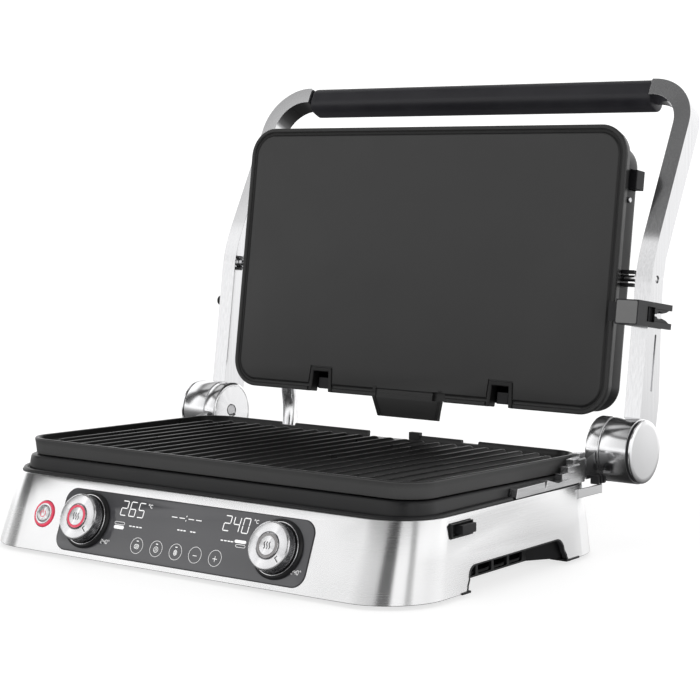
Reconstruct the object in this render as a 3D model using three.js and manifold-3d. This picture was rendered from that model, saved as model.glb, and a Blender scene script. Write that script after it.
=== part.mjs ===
// Panini press (contact grill) with a floating top plate, built in millimetres, Z up.
// It is drawn with its lid standing open. X runs across the front, Y runs to the back.
import * as THREE from 'three';
import { mergeVertices } from 'three/addons/utils/BufferGeometryUtils.js';
import Module from 'manifold-3d';

const wasm = await Module();
wasm.setup();
const { Manifold, Mesh: SolidMesh } = wasm;
const rad = THREE.MathUtils.degToRad;

// Base shell: a leaning wrap-around wall, wider at the bottom.
const SHELL_H = 53.5;
const SHELL_WALL = 1.4;
const SHELL_FALL = 0.0063;
const SHELL_BOTTOM = { half: 202.8, front: -36.2, rear: 238, r: 46.7 };
const SHELL_TOP = { half: 196.3, front: -14.8, rear: 230, r: 39 };
const FOOT_DROP = 3;

// Deck on top of the shell: the platform under the lower plate.
const DECK = { half: 188.2, front: -2.6, rear: 225.2 };

// Openings with their surrounds, each a little larger than what sits in it.
const FIT = 0.4;
const TRAY = { half: 69, front: 128, rear: 236, low: 9.4, high: 33.4, wall: 2.2 };
const INLET = { x: 120, y: 236.9, z: 22, lean: 0.15 };
const BEZEL = { y0: 24, y1: 50, z0: 38.6, z1: 48.4 };

// Cooking plates: both have one outline. The lower one slopes to the back, so fat runs off.
const PLATE_HALF = 186.6;
const PLATE_DEPTH = 223.8;
const PLATE_R = 24;
const PLATE_TOP = 77.8;
const PLATE_SLOPE = 1.41;
const PLATE_SKIRT = 12.5;
const RIB_PITCH = 15.2;
const RIB_COUNT = 23;
// Gap in the rear lip that drains the lower plate, and the lift tab beside it.
const DRAIN = { x0: -15, x1: 26.5, tab: 10, rise: 2.4 };

// Lid hinge, and the angle between the closed lid and the lid as drawn.
const HINGE = { y: 249.2, z: 72.7, r: 24.8 };
const LID_OPEN = 96.6;
const LID_NEAR = 23.7;
const LID_FAR = 249.2;
const LID_BACK = -28.5;
const ARM = { x0: 200, x1: 214, deep: 18, bend: 19.5, v: 215, n: -30.1, join: 45.3 };
const CORNER = { r: 40, top: 84.6 };
const GRIP = { half: 171.4, low: 65.2, high: 88.2, back: -26.4, front: -2.6, r: 8.6 };
// Hole along the grip, for the tube that ties the two arms.
const BORE = { low: 71.8, high: 83.4, back: -17.2, front: -6.2 };
const PIVOT = { v: 131.5, n: -14 };
const SLIDER = { v0: 94.6, v1: 113.6 };
const HOUSING = { half: 184, near: 27, far: 236.5, r: 20, rim: -10 };

// Control panel, in the leaning plane of the front wall.
const PANEL = { half: 117.6, low: 4.5, high: 51, r: 10 };
const KNOB = { x: 90.5, s: 28.5, r: 17.4, deep: 13 };
const START = { x: -136.5, s: 28.5, r: 10 };

// Side hand hold, cut into the shell's lower edge.
const HOLD = { y0: 39, y1: 170.3, z1: 17.6, r: 9, flare: 5, lean: 2.5 };
const LINER = { x: 179, wall: 2.4, front: 37, turn: 147, end: 171.5, low: 1.2, high: 20.4 };

// ---------- frames ----------
const wallTilt = Math.atan2(SHELL_TOP.front - SHELL_BOTTOM.front, SHELL_H);
const lidTilt = rad(LID_OPEN + PLATE_SLOPE);

function basis(ax, ay, az, origin) {
  return new THREE.Matrix4().makeBasis(ax, ay, az).setPosition(origin);
}
const V3 = (x = 0, y = 0, z = 0) => new THREE.Vector3(x, y, z);
const X_AXIS = V3(1, 0, 0);
// Wall frame: x across, s up the wall, t out of it.
const wallUp = V3(0, Math.sin(wallTilt), Math.cos(wallTilt));
const wallOut = V3(0, -Math.cos(wallTilt), Math.sin(wallTilt));
const WALL = basis(X_AXIS, wallUp, wallOut, V3(0, SHELL_BOTTOM.front, 0));
// Lid frame: x across, v away from the hinge, n out of the cooking face.
const lidV = V3(0, -Math.cos(lidTilt), Math.sin(lidTilt));
const lidN = V3(0, -Math.sin(lidTilt), -Math.cos(lidTilt));
const LID = basis(X_AXIS, lidV, lidN, V3(0, HINGE.y, HINGE.z));
// Plate frame: x across, d to the back, h out of the lower plate.
const plateD = V3(0, Math.cos(rad(PLATE_SLOPE)), -Math.sin(rad(PLATE_SLOPE)));
const plateH = V3(0, Math.sin(rad(PLATE_SLOPE)), Math.cos(rad(PLATE_SLOPE)));
const PLATE = basis(X_AXIS, plateD, plateH, V3(0, 0, PLATE_TOP));
// Upper arm frame, inside the lid frame: x across, s up the bent-back arm, t out of its front.
const armTurn = rad(ARM.bend);
const armS = V3(0, Math.cos(armTurn), -Math.sin(armTurn));
const armT = V3(0, Math.sin(armTurn), Math.cos(armTurn));
const ARM_UP = LID.clone().multiply(basis(X_AXIS, armS, armT, V3(0, ARM.v, ARM.n)));

// ---------- solids ----------
// Keeps positions only, with shared corners merged and every face turned outward.
function clean(geometry) {
  const g = geometry.clone();
  for (const key of Object.keys(g.attributes)) if (key !== 'position') g.deleteAttribute(key);
  const merged = mergeVertices(g, 1e-4);
  const at = merged.attributes.position;
  const index = Array.from(merged.index.array);
  let volume = 0;
  for (let f = 0; f < index.length; f += 3) {
    const [a, b, c] = [0, 1, 2].map((i) => V3().fromBufferAttribute(at, index[f + i]));
    volume += a.dot(b.cross(c));
  }
  if (volume < 0) merged.setIndex(index.reverse());
  return merged;
}

function solid(geometry) {
  const g = clean(geometry);
  const mesh = new SolidMesh({
    numProp: 3,
    vertProperties: new Float32Array(g.attributes.position.array),
    triVerts: new Uint32Array(g.index.array),
  });
  mesh.merge();
  return new Manifold(mesh);
}

function surface(body) {
  const mesh = body.getMesh();
  const g = new THREE.BufferGeometry();
  g.setAttribute('position', new THREE.BufferAttribute(new Float32Array(mesh.vertProperties), 3));
  g.setIndex(new THREE.BufferAttribute(new Uint32Array(mesh.triVerts), 1));
  return g;
}

const join = (...parts) => surface(Manifold.union(parts.map(solid)));
const cut = (from, ...tools) => surface(solid(from).subtract(Manifold.union(tools.map(solid))));

function box(x0, x1, y0, y1, z0, z1) {
  const g = new THREE.BoxGeometry(x1 - x0, y1 - y0, z1 - z0);
  return g.translate((x0 + x1) / 2, (y0 + y1) / 2, (z0 + z1) / 2);
}

function roundRect(x0, x1, y0, y1, r, n = 6) {
  const points = [];
  const centres = [[x1 - r, y1 - r], [x0 + r, y1 - r], [x0 + r, y0 + r], [x1 - r, y0 + r]];
  centres.forEach(([cx, cy], quarter) => {
    for (let i = 0; i <= n; i++) {
      const a = (quarter + i / n) * Math.PI / 2;
      points.push([cx + r * Math.cos(a), cy + r * Math.sin(a)]);
    }
  });
  return points;
}

// Extrudes an outline of (a, b) points along the third axis.
function prism(outline, depth0, depth1) {
  const shape = new THREE.Shape(outline.map(([a, b]) => new THREE.Vector2(a, b)));
  const g = new THREE.ExtrudeGeometry(shape, { depth: depth1 - depth0, bevelEnabled: false });
  return g.translate(0, 0, depth0);
}

// An outline of (y, z) points extruded along X.
function prismX(outline, x0, x1) {
  const turn = basis(V3(0, 1, 0), V3(0, 0, 1), X_AXIS, V3(0, 0, 0));
  return prism(outline, x0, x1).applyMatrix4(turn);
}

// Joins rings of equal point counts into one closed skin: a loop of rings, or a stack with caps.
function loft(rings, loop = false) {
  const count = rings[0].length;
  const points = rings.flat();
  const faces = [];
  const steps = loop ? rings.length : rings.length - 1;
  for (let k = 0; k < steps; k++) {
    const a = k * count;
    const b = ((k + 1) % rings.length) * count;
    for (let i = 0; i < count; i++) {
      const j = (i + 1) % count;
      faces.push(a + i, a + j, b + j, a + i, b + j, b + i);
    }
  }
  if (!loop) {
    for (const [ring, flip] of [[0, true], [rings.length - 1, false]]) {
      const flat = rings[ring].map(([x, y]) => new THREE.Vector2(x, y));
      for (const [p, q, r] of THREE.ShapeUtils.triangulateShape(flat, [])) {
        const at = ring * count;
        faces.push(at + p, at + (flip ? r : q), at + (flip ? q : r));
      }
    }
  }
  const g = new THREE.BufferGeometry();
  g.setAttribute('position', new THREE.Float32BufferAttribute(points.flat(), 3));
  g.setIndex(faces);
  return g;
}

// A body of revolution about X from (radius, x) points.
function turnedX(profile, y, z, n = 28) {
  const g = new THREE.LatheGeometry(profile.map(([r, x]) => new THREE.Vector2(r, x)), n);
  const turn = basis(V3(0, 0, 1), X_AXIS, V3(0, 1, 0), V3(0, y, z));
  return g.applyMatrix4(turn);
}

const rodX = (x0, x1, y, z, r, n) => turnedX([[0, x0], [r, x0], [r, x1], [0, x1]], y, z, n);

// A body of revolution about the third axis of a frame, from (radius, t) points.
function turnedT(profile, a, b, n = 28) {
  const g = new THREE.LatheGeometry(profile.map(([r, t]) => new THREE.Vector2(r, t)), n);
  return g.rotateX(Math.PI / 2).translate(a, b, 0);
}

function heaterLoop(half, near, far, level) {
  const gap = 22;
  const path = new THREE.CurvePath();
  const r = 26;
  const line = (a, b) => path.add(new THREE.LineCurve3(V3(...a), V3(...b)));
  const bend = (a, m, b) => path.add(new THREE.QuadraticBezierCurve3(V3(...a), V3(...m), V3(...b)));
  line([-gap, near, level], [-half + r, near, level]);
  bend([-half + r, near, level], [-half, near, level], [-half, near + r, level]);
  line([-half, near + r, level], [-half, far - r, level]);
  bend([-half, far - r, level], [-half, far, level], [-half + r, far, level]);
  line([-half + r, far, level], [half - r, far, level]);
  bend([half - r, far, level], [half, far, level], [half, far - r, level]);
  line([half, far - r, level], [half, near + r, level]);
  bend([half, near + r, level], [half, near, level], [half - r, near, level]);
  line([half - r, near, level], [gap, near, level]);
  return tube(path, 3.3, 56, 6);
}

function tube(path, radius, steps, sides) {
  const ring = [];
  for (let i = 0; i < sides; i++) {
    const a = 2 * Math.PI * i / sides;
    ring.push(new THREE.Vector2(radius * Math.cos(a), radius * Math.sin(a)));
  }
  const shape = new THREE.Shape(ring);
  return new THREE.ExtrudeGeometry(shape, { steps, bevelEnabled: false, extrudePath: path });
}

// ---------- base ----------
function shellRing(lean, inset, height) {
  const mix = (key) => THREE.MathUtils.lerp(SHELL_BOTTOM[key], SHELL_TOP[key], lean);
  const half = mix('half') - inset;
  const front = mix('front') + inset;
  const rear = mix('rear') - inset;
  const level = typeof height === 'number' ? () => height : height;
  return roundRect(-half, half, front, rear, mix('r') - inset, 7).map(([x, y]) => [x, y, level(y)]);
}

const shellTop = (rise) => (y) => SHELL_H + rise - SHELL_FALL * (y - SHELL_TOP.front);

// Rounded top corners, sides that lean inward, and a flare where they meet the lower edge.
function holdOutline() {
  const half = (HOLD.y1 - HOLD.y0) / 2;
  const points = [];
  const arc = (a, z, r, from, to) => {
    for (let i = 0; i <= 4; i++) {
      const t = rad(from + (to - from) * i / 4);
      points.push([a + r * Math.cos(t), z + r * Math.sin(t)]);
    }
  };
  points.push([half + HOLD.flare, -2]);
  arc(half + HOLD.flare, HOLD.flare, HOLD.flare, 270, 180);
  arc(half - HOLD.lean - HOLD.r, HOLD.z1 - HOLD.r, HOLD.r, 0, 90);
  const middle = (HOLD.y0 + HOLD.y1) / 2;
  const mirror = points.map(([a, z]) => [-a, z]).reverse();
  return [...points, ...mirror].map(([a, z]) => [middle + a, z]);
}

function baseShell() {
  const wall = loft([
    shellRing(0, 0, 0),
    shellRing(1, 0, shellTop(0)),
    shellRing(1, SHELL_WALL, shellTop(0)),
    shellRing(0, SHELL_WALL, 0),
  ], true);
  const through = 6;
  const window = prism(roundRect(-PANEL.half - FIT, PANEL.half + FIT, PANEL.low - FIT,
    PANEL.high + FIT, PANEL.r + FIT, 5), -through, through).applyMatrix4(WALL);
  const r = START.r + FIT;
  const start = turnedT([[0, -through], [r, -through], [r, through], [0, through]], START.x, START.s)
    .applyMatrix4(WALL);
  const hold = prismX(holdOutline(), -SHELL_BOTTOM.half - 9, SHELL_BOTTOM.half + 9);
  const release = box(190, 210, BEZEL.y0 - FIT, BEZEL.y1 + FIT, BEZEL.z0 - FIT, BEZEL.z1 + FIT);
  const tray = box(-TRAY.half - 3, TRAY.half + 3, 224, 245, TRAY.low - 1.4, TRAY.high + 1.2);
  const inlet = box(INLET.x - 9, INLET.x + 9, 224, 245, INLET.z - 9, INLET.z + 9);
  return cut(wall, window, start, hold, release, tray, inlet);
}

function baseDeck() {
  const seat = (drop) => (y) => PLATE_TOP - y * Math.tan(rad(PLATE_SLOPE)) - PLATE_SKIRT - drop;
  const platform = (inset, level) => {
    const half = DECK.half - inset;
    return roundRect(-half, half, DECK.front + inset, DECK.rear - inset, PLATE_R - inset, 7)
      .map(([x, y]) => [x, y, typeof level === 'number' ? level : level(y)]);
  };
  const tray = loft([
    shellRing(1, 1.9, shellTop(-9)),
    shellRing(1, 1.9, shellTop(0.4)),
    shellRing(1, 5, shellTop(2.4)),
    shellRing(1, 5.7, shellTop(0.9)),
    platform(-1.5, shellTop(0.9)),
    platform(0, seat(1.6)),
    platform(1.4, seat(0.5)),
    platform(9, seat(0.5)),
    platform(11, 47),
  ]);
  const stairBed = box(188.6, 198, 109, 215, SHELL_H - 0.9, 80);
  const bezelSeat = box(183, 198, BEZEL.y0 - 2, BEZEL.y1 + 2, 36, 50);
  const chute = box(-33, 33, 221, 232, 38, 80);
  return cut(tray, stairBed, bezelSeat, chute);
}

function baseFloor() {
  const plate = loft([shellRing(0, 3.4, 1), shellRing(0, 3.4, 3.4)]);
  const right = box(LINER.x - 3, SHELL_BOTTOM.half + 7, HOLD.y0 - 9, HOLD.y1 + 8.7, 0, 5);
  const slots = [];
  for (let x = -120; x <= 120; x += 30) {
    slots.push(box(x - 3, x + 3, 60, 110, 0, 5));
  }
  return cut(plate, right, mirrored(right), ...slots);
}

function foot(x, y) {
  const g = new THREE.LatheGeometry([[0, -FOOT_DROP], [6.6, -FOOT_DROP], [8, -1.6], [8, 0.7], [0, 0.7]]
    .map(([r, z]) => new THREE.Vector2(r, z)), 20);
  return g.rotateX(Math.PI / 2).translate(x, y, 0);
}

// Liner of the hand hold: a vented inner wall that turns outward at the back, and a roof.
function sideVent(side) {
  const { x, front, turn, end } = LINER;
  const inner = x + LINER.wall;
  const wall = [[x, front], [inner, front], [inner, turn], [197, end], [197, end + 3.5], [x, turn + 2]];
  const roof = [[x, front], [198, front], [198, end + 0.5], [x, turn + 2]];
  const sheet = join(prism(wall, LINER.low, LINER.high - 1), prism(roof, LINER.high - 2.4, LINER.high));
  const windows = [];
  for (let i = 0; i < 5; i++) {
    const y = front + 6 + 20.4 * i;
    windows.push(box(x - 4, inner + 1, y, y + 17.4, 2.6, 14.4));
  }
  const vent = cut(sheet, ...windows);
  return side > 0 ? vent : mirrored(vent);
}

function mirrored(geometry) {
  return clean(geometry.clone().applyMatrix4(new THREE.Matrix4().makeScale(-1, 1, 1)));
}

function dripTray() {
  const { half, front, rear, low, high, wall } = TRAY;
  const tub = box(-half, half, front, rear, low, high);
  const hollow = box(-half + wall, half - wall, front + wall, rear - 6, low + wall, high + 6.6);
  const face = prismX([[237.4, 5.4], [240.6, 5.4], [236.2, 37], [233, 37]], -76, 76);
  const finger = box(-22, 22, 237.2, 244, 2, 11.5);
  return cut(join(tub, face), hollow, finger);
}

function powerInlet() {
  const profile = [[4.2, -12], [8.4, -12], [8.4, -1.5], [11.6, -1.5], [11.6, 1.6], [10.4, 2.6], [6.2, 2.6],
    [4.2, 1.2], [4.2, -12]];
  const g = new THREE.LatheGeometry(profile.map(([r, t]) => new THREE.Vector2(r, t)), 24);
  return g.applyMatrix4(basis(X_AXIS, V3(0, 1, INLET.lean).normalize(),
    V3(0, -INLET.lean, 1).normalize(), V3(INLET.x, INLET.y, INLET.z)));
}

function powerBoard() {
  const board = box(-152, -82, 44, 146, 12, 13.6);
  const relay = box(-146, -126, 60, 84, 13, 30);
  const coil = box(-118, -90, 96, 128, 13, 32);
  return join(board, relay, coil);
}

// ---------- control panel ----------
// Holes for the two dials' shafts, in the wall frame.
function shaftHoles(r) {
  const rod = [[0, -30], [r, -30], [r, 30], [0, 30]];
  return [-1, 1].map((side) => turnedT(rod, side * KNOB.x, KNOB.s, 16));
}

function controlPanel() {
  const glass = prism(roundRect(-PANEL.half, PANEL.half, PANEL.low, PANEL.high, PANEL.r, 5), -1.6, 0.7);
  return cut(glass, ...shaftHoles(3.6)).applyMatrix4(WALL);
}

function panelBoard() {
  return cut(box(-112, 112, 8, 48, -8.4, -6.9), ...shaftHoles(3.6)).applyMatrix4(WALL);
}

const displayModule = () => box(-66, 66, 11, 48, -6.5, -2).applyMatrix4(WALL);

function knobCollar(side) {
  const profile = [[4.2, 1.1], [21.4, 1.1], [21.4, 2.2], [20.2, 3.4], [4.2, 3.4], [4.2, 1.1]];
  return turnedT(profile, side * KNOB.x, KNOB.s).applyMatrix4(WALL);
}

function encoder(side) {
  const body = box(side * KNOB.x - 8, side * KNOB.x + 8, KNOB.s - 8, KNOB.s + 8, -17, -8.8);
  return cut(body, ...shaftHoles(3.4)).applyMatrix4(WALL);
}

function knob(side) {
  const r = KNOB.r;
  const d = KNOB.deep;
  const profile = [[0, d - 4], [9.5, d - 4], [9.5, d + 0.2], [r - 1.4, d], [r, d - 1], [r + 0.3, 4.2],
    [3, 4.2], [3, -15], [0, -15]];
  return turnedT(profile, side * KNOB.x, KNOB.s, 36).applyMatrix4(WALL);
}

function searButton(side) {
  const d = KNOB.deep;
  const profile = [[0, d - 2.2], [9.1, d - 2.2], [9.1, d + 0.2], [8.3, d + 0.8], [0, d + 0.8]];
  return turnedT(profile, side * KNOB.x, KNOB.s).applyMatrix4(WALL);
}

function startRing() {
  const profile = [[6.3, -2], [START.r, -2], [START.r, 0.6], [9, 1.2], [6.3, 1.2], [6.3, -2]];
  return turnedT(profile, START.x, START.s).applyMatrix4(WALL);
}

function startButton() {
  const profile = [[0, -1.6], [6, -1.6], [6, 1.3], [5.4, 1.8], [0, 1.8]];
  return turnedT(profile, START.x, START.s).applyMatrix4(WALL);
}

function releaseBezel() {
  const { y0, y1, z0, z1 } = BEZEL;
  const frame = box(191, 199.4, y0, y1, z0, z1);
  const hole = box(180, 210, y0 + 6.6, y1 - 1.6, z0 + 1.8, z1 - 0.8);
  const recess = box(197.2, 210, y0 + 1.4, y1 - 1.4, z0 + 1.4, z1 - FIT);
  return cut(frame, hole, recess);
}

function lowerRelease() {
  const { y0, y1, z0, z1 } = BEZEL;
  return box(188, 203.4, y0 + 7, y1 - 2, z0 + 2.2, z1 - 1.2);
}

// ---------- lower plate and what heats it ----------
function lowerPlate() {
  const ring = (inset, h) => roundRect(-PLATE_HALF + inset, PLATE_HALF - inset, inset,
    PLATE_DEPTH - inset, PLATE_R - inset, 7).map(([x, y]) => [x, y, h]);
  const pan = loft([
    ring(7, -PLATE_SKIRT), ring(2, -PLATE_SKIRT), ring(0.4, -3), ring(0, -0.8), ring(0.8, 0), ring(2.6, 0),
    ring(5.4, -4.6),
  ]);
  const under = loft([ring(6, -PLATE_SKIRT - 1), ring(6, -8.4)]);
  const layDown = basis(X_AXIS, V3(0, 0, 1), V3(0, -1, 0), V3(0, PLATE_DEPTH, 0));
  const ribs = [];
  for (let i = 0; i < RIB_COUNT; i++) {
    const x = (i - (RIB_COUNT - 1) / 2) * RIB_PITCH;
    const near = 12 + (Math.abs(x) > 160 ? 8 : 0);
    const section = [[x - 3, -5], [x + 3, -5], [x + 1.4, -1.9], [x - 1.4, -1.9]];
    ribs.push(prism(section, near, PLATE_DEPTH - near).applyMatrix4(layDown));
  }
  const edge = PLATE_DEPTH;
  const drain = box(DRAIN.x0, DRAIN.x1, edge - 9, edge + 1, -4.6, 2);
  const notches = [-99, 84].map((x) => box(x - 8, x + 8, edge - 6, edge + 1, -2.2, 2));
  const spout = box(DRAIN.x0 + 0.5, DRAIN.x1 - 0.5, edge - 3, edge + 3, -8, -4.8);
  const tab = box(DRAIN.x1, DRAIN.x1 + DRAIN.tab, edge - 4.6, edge - 0.4, -3, DRAIN.rise);
  const body = Manifold.union([pan, ...ribs].map(solid))
    .subtract(Manifold.union([under, drain, ...notches].map(solid)));
  return surface(body.add(solid(spout)).add(solid(tab))).applyMatrix4(PLATE);
}

const lowerHeater = () => heaterLoop(150, 34, 190, -15.5).applyMatrix4(PLATE);

function lowerReflector() {
  const ring = (inset, level) => roundRect(-170 + inset, 170 - inset, 16 + inset, 206 - inset, 14, 3)
    .map(([x, y]) => [x, y, level]);
  return loft([ring(4.4, 49), ring(3.4, 49), ring(0, 53), ring(0.9, 53), ring(4, 49.8)]);
}

const thermostat = (level) => box(-14, 14, 96, 120, level, level + 4);

// ---------- hinge sides ----------
function hingeBracket(side) {
  const bore = 5.4;
  const disc = turnedX([[bore, 184.8], [23.9, 184.8], [HINGE.r, 185.6], [HINGE.r, 195.4], [24, 196.2],
    [bore, 196.2], [bore, 184.8]], HINGE.y, HINGE.z, 32);
  const foot = [[209.5, 54.4], [236, 54.4], [240, 66], [232, 82], [224, 74], [209.5, 70]];
  const neck = prismX(foot, 188.9, 195.4);
  const wing = box(150, 195.4, 226.6, 236, 54.6, 62);
  const bracket = cut(join(disc, neck, wing), rodX(180, 200, HINGE.y, HINGE.z, bore, 32));
  return side > 0 ? bracket : mirrored(bracket);
}

function hingeBarrel(side) {
  const profile = [[5.4, 217.6], [5.4, 220.6], [24.2, 220.6], [HINGE.r, 220], [HINGE.r, 197.8], [24, 197],
    [20.6, 197], [20.6, 217.6], [5.4, 217.6]];
  const barrel = turnedX(profile, HINGE.y, HINGE.z, 32);
  return side > 0 ? barrel : mirrored(barrel);
}

function hingeCap(side) {
  const cap = turnedX([[0, 221], [22.6, 221], [24.1, 221.6], [24.1, 222.3], [22.8, 223.1], [0, 223.1]],
    HINGE.y, HINGE.z, 32);
  return side > 0 ? cap : mirrored(cap);
}

function hingeShaft(side) {
  const shaft = rodX(185.4, 220, HINGE.y, HINGE.z, 5, 24);
  return side > 0 ? shaft : mirrored(shaft);
}

function hingeSpring(side) {
  const points = [];
  const turns = 4;
  for (let i = 0; i <= turns * 10; i++) {
    const a = 2 * Math.PI * i / 10;
    points.push(V3(200 + 14 * i / (turns * 10), HINGE.y + 13 * Math.cos(a), HINGE.z + 13 * Math.sin(a)));
  }
  const coil = tube(new THREE.CatmullRomCurve3(points), 1.5, turns * 12, 5);
  return side > 0 ? coil : mirrored(coil);
}

function stairLadder() {
  const outline = [[111, 53.1], [207, 53.1], [207, 75.2], [198.4, 75.2], [198.4, 71.6], [190.4, 71.6],
    [190.4, 67.2], [182.4, 67.2], [182.4, 62.8], [174, 62.8], [174, 57.2], [168, 57.2], [154, 61],
    [151, 55], [150, 60.2], [113, 60.2]];
  return prismX(outline, 189, 195.6);
}

// ---------- lid arms and handle ----------
// A point of the upper arm frame as (v, n) of the lid frame.
function upperArm(along, out) {
  const v = ARM.v + along * Math.cos(armTurn) + out * Math.sin(armTurn);
  const n = ARM.n - along * Math.sin(armTurn) + out * Math.cos(armTurn);
  return [v, n];
}

// The lower bar is deepest near the hinge and thins to the upper bar's depth at the bend.
function armLower() {
  const front = [[18, -4.6], [140, -5], [145, -5.5], [150, -6.9], upperArm(ARM.join, 0)];
  const rear = [upperArm(ARM.join, -ARM.deep), upperArm(-64, -ARM.deep), [138, -23.6], [120, -24.4],
    [90, -27], [60, -30.4], [38, -32.6], [20, -31]];
  return prism([...front, ...rear], ARM.x0, ARM.x1);
}

function armCorner() {
  const width = ARM.x1 - ARM.x0;
  const start = CORNER.top - CORNER.r;
  const outline = [[ARM.x1, start]];
  const arc = (radius, from, to) => {
    for (let i = 0; i <= 9; i++) {
      const a = rad(from + (to - from) * i / 9);
      outline.push([ARM.x1 - CORNER.r + radius * Math.cos(a), start + radius * Math.sin(a)]);
    }
  };
  arc(CORNER.r, 0, 90);
  outline.push([GRIP.half + 0.4, CORNER.top], [GRIP.half + 0.4, CORNER.top - width]);
  arc(CORNER.r - width, 90, 0);
  outline.push([ARM.x0, start]);
  return prism(outline, -ARM.deep, 0).applyMatrix4(LID.clone().invert().multiply(ARM_UP));
}

function arm(side) {
  const turn = basis(V3(0, 1, 0), V3(0, 0, 1), X_AXIS, V3(0, 0, 0));
  const lower = armLower().applyMatrix4(turn);
  const tools = [rodX(190, 220, 0, 0, HINGE.r + 0.3, 32), rodX(190, 220, PIVOT.v, PIVOT.n, 2.9, 16)];
  // The right arm has a scale groove on its outer face.
  if (side > 0) {
    tools.push(box(ARM.x1 - 1.6, ARM.x1 + 2, 46, 89.5, -20, -17.4));
  }
  const bar = cut(join(lower, armCorner()), ...tools).applyMatrix4(LID);
  return side > 0 ? bar : mirrored(bar);
}

function handleGrip() {
  const ring = (x, inset) => roundRect(GRIP.low + inset, GRIP.high - inset, GRIP.back + inset,
    GRIP.front - inset, GRIP.r - inset, 5).map(([s, t]) => [x, s, t]);
  const bore = (x) => roundRect(BORE.low, BORE.high, BORE.back, BORE.front, 0.3, 5)
    .map(([s, t]) => [x, s, t]);
  const e = GRIP.half;
  return loft([ring(-e, 0.9), ring(-e + 1, 0), ring(e - 1, 0), ring(e, 0.9), bore(e), bore(-e)], true)
    .applyMatrix4(ARM_UP);
}

function handleTube() {
  const gap = 0.4;
  return box(-GRIP.half, GRIP.half, BORE.low + gap, BORE.high - gap, BORE.back + gap, BORE.front - gap)
    .applyMatrix4(ARM_UP);
}

function pivotPin(side) {
  const rod = rodX(178.4, 213.4, PIVOT.v, PIVOT.n, 2.5, 16);
  const washer = rodX(196.6, 199.6, PIVOT.v, PIVOT.n, 4.4, 16);
  const pin = join(rod, washer).applyMatrix4(LID);
  return side > 0 ? pin : mirrored(pin);
}

function stopPinLeft() {
  const profile = [[0, 214.3], [4.4, 214.3], [4.4, 219], [3.4, 220], [0, 220]];
  return mirrored(turnedX(profile, 97, -12, 20).applyMatrix4(LID));
}

function heightSlider() {
  const { v0, v1 } = SLIDER;
  const block = box(197.8, 217, v0, v1, -4, 18);
  const inner = box(197.8, 199.6, v0, v1, -24, -4);
  const outer = box(214.4, 217, v0, v1, -37, -4);
  const foot = box(189.6, 198.4, v0 + 2.4, v1 - 2.2, -3, 13.6);
  const mouth = box(213, 220, v0 + 4.6, v1 - 4.6, -40, -9);
  const pocket = box(215.6, 220, v0 + 3.8, v1 - 3.8, -9, 3);
  return cut(join(block, inner, outer, foot), mouth, pocket).applyMatrix4(LID);
}

// ---------- upper housing ----------
function lidRing(half, near, far, r, n) {
  return roundRect(-half, half, near, far, r, 7).map(([x, v]) => [x, v, n]);
}

function upperShell() {
  const { half, near, far, r, rim } = HOUSING;
  const ring = (inset, n) => lidRing(half - inset, near + inset, far - inset, r - Math.min(inset, 12), n);
  const tub = loft([ring(0, rim), ring(0, -22), ring(1.6, -26.6), ring(6, LID_BACK)]);
  const hollow = loft([ring(2.6, rim + 2), ring(2.6, -24), ring(4.6, -25.8)]);
  // Two prongs on each side hold the housing level on its pivot pins.
  const low = box(half - 1, 195.4, PIVOT.v - 6.2, PIVOT.v - 3.8, -21, rim - 0.2);
  const high = box(half - 1, 195.4, PIVOT.v + 3.8, PIVOT.v + 6.2, -21, rim - 0.2);
  const pinHole = rodX(176, 190, PIVOT.v, PIVOT.n, 2.8, 16);
  const button = box(178, 190, 199.8, 216.2, -26, -12.4);
  const duct = box(-147, -131, 20, 33, -26, -11);
  const prongs = [low, mirrored(low), high, mirrored(high)];
  const body = solid(tub).subtract(solid(hollow)).add(Manifold.union(prongs.map(solid)))
    .subtract(Manifold.union([pinHole, mirrored(pinHole), button, duct].map(solid)));
  return surface(body).applyMatrix4(LID);
}

function upperPlate() {
  const ring = (inset, n) => lidRing(PLATE_HALF - inset, LID_NEAR + inset, LID_FAR - inset,
    PLATE_R - inset, n);
  const slab = loft([
    ring(6, -9.2), ring(1.6, -9.2), ring(0, -1), ring(0.8, 0.5), ring(3.2, 0.5), ring(4, -1.4),
    ring(6, -1.4), ring(6.8, 0),
  ]);
  const under = loft([ring(5.6, -12), ring(5.6, -5.4)]);
  const notch = (x) => prism([[x - 11, 20], [x + 11, 20], [x + 9.4, 43], [x - 9.4, 43]], -20, 5);
  // The drain lip is lofted along v, so it is drawn with its layers stacked and then laid down.
  const lip = loft([[34, 34, -1], [34, 23, -0.4], [30, 8, -4.4]].map(([half, v, top]) => [
    [-half, top - 3, -v], [half, top - 3, -v], [half, top, -v], [-half, top, -v]]))
    .applyMatrix4(basis(X_AXIS, V3(0, 0, 1), V3(0, -1, 0), V3(0, 0, 0)));
  const pan = solid(slab).subtract(Manifold.union([under, notch(-90), notch(90)].map(solid)));
  // A pocket over the lower plate's tab, for when the lid is closed.
  const pocket = box(DRAIN.x1 - 1, DRAIN.x1 + DRAIN.tab + 1, LID_NEAR + 0.3, LID_NEAR + 7.6, -3.4, 2);
  const body = pan.add(solid(lip)).subtract(solid(pocket));
  return surface(body).applyMatrix4(LID);
}

const upperHeater = () => heaterLoop(148, 62, 214, -13.6).applyMatrix4(LID);
const upperReflector = () => box(-160, 160, 48, 226, -21, -20.2).applyMatrix4(LID);
const upperThermostat = () => box(-14, 14, 120, 144, -19.8, -15.8).applyMatrix4(LID);
const upperRelease = () => box(172, 190, 200.4, 215.6, -25.4, -13).applyMatrix4(LID);

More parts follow.
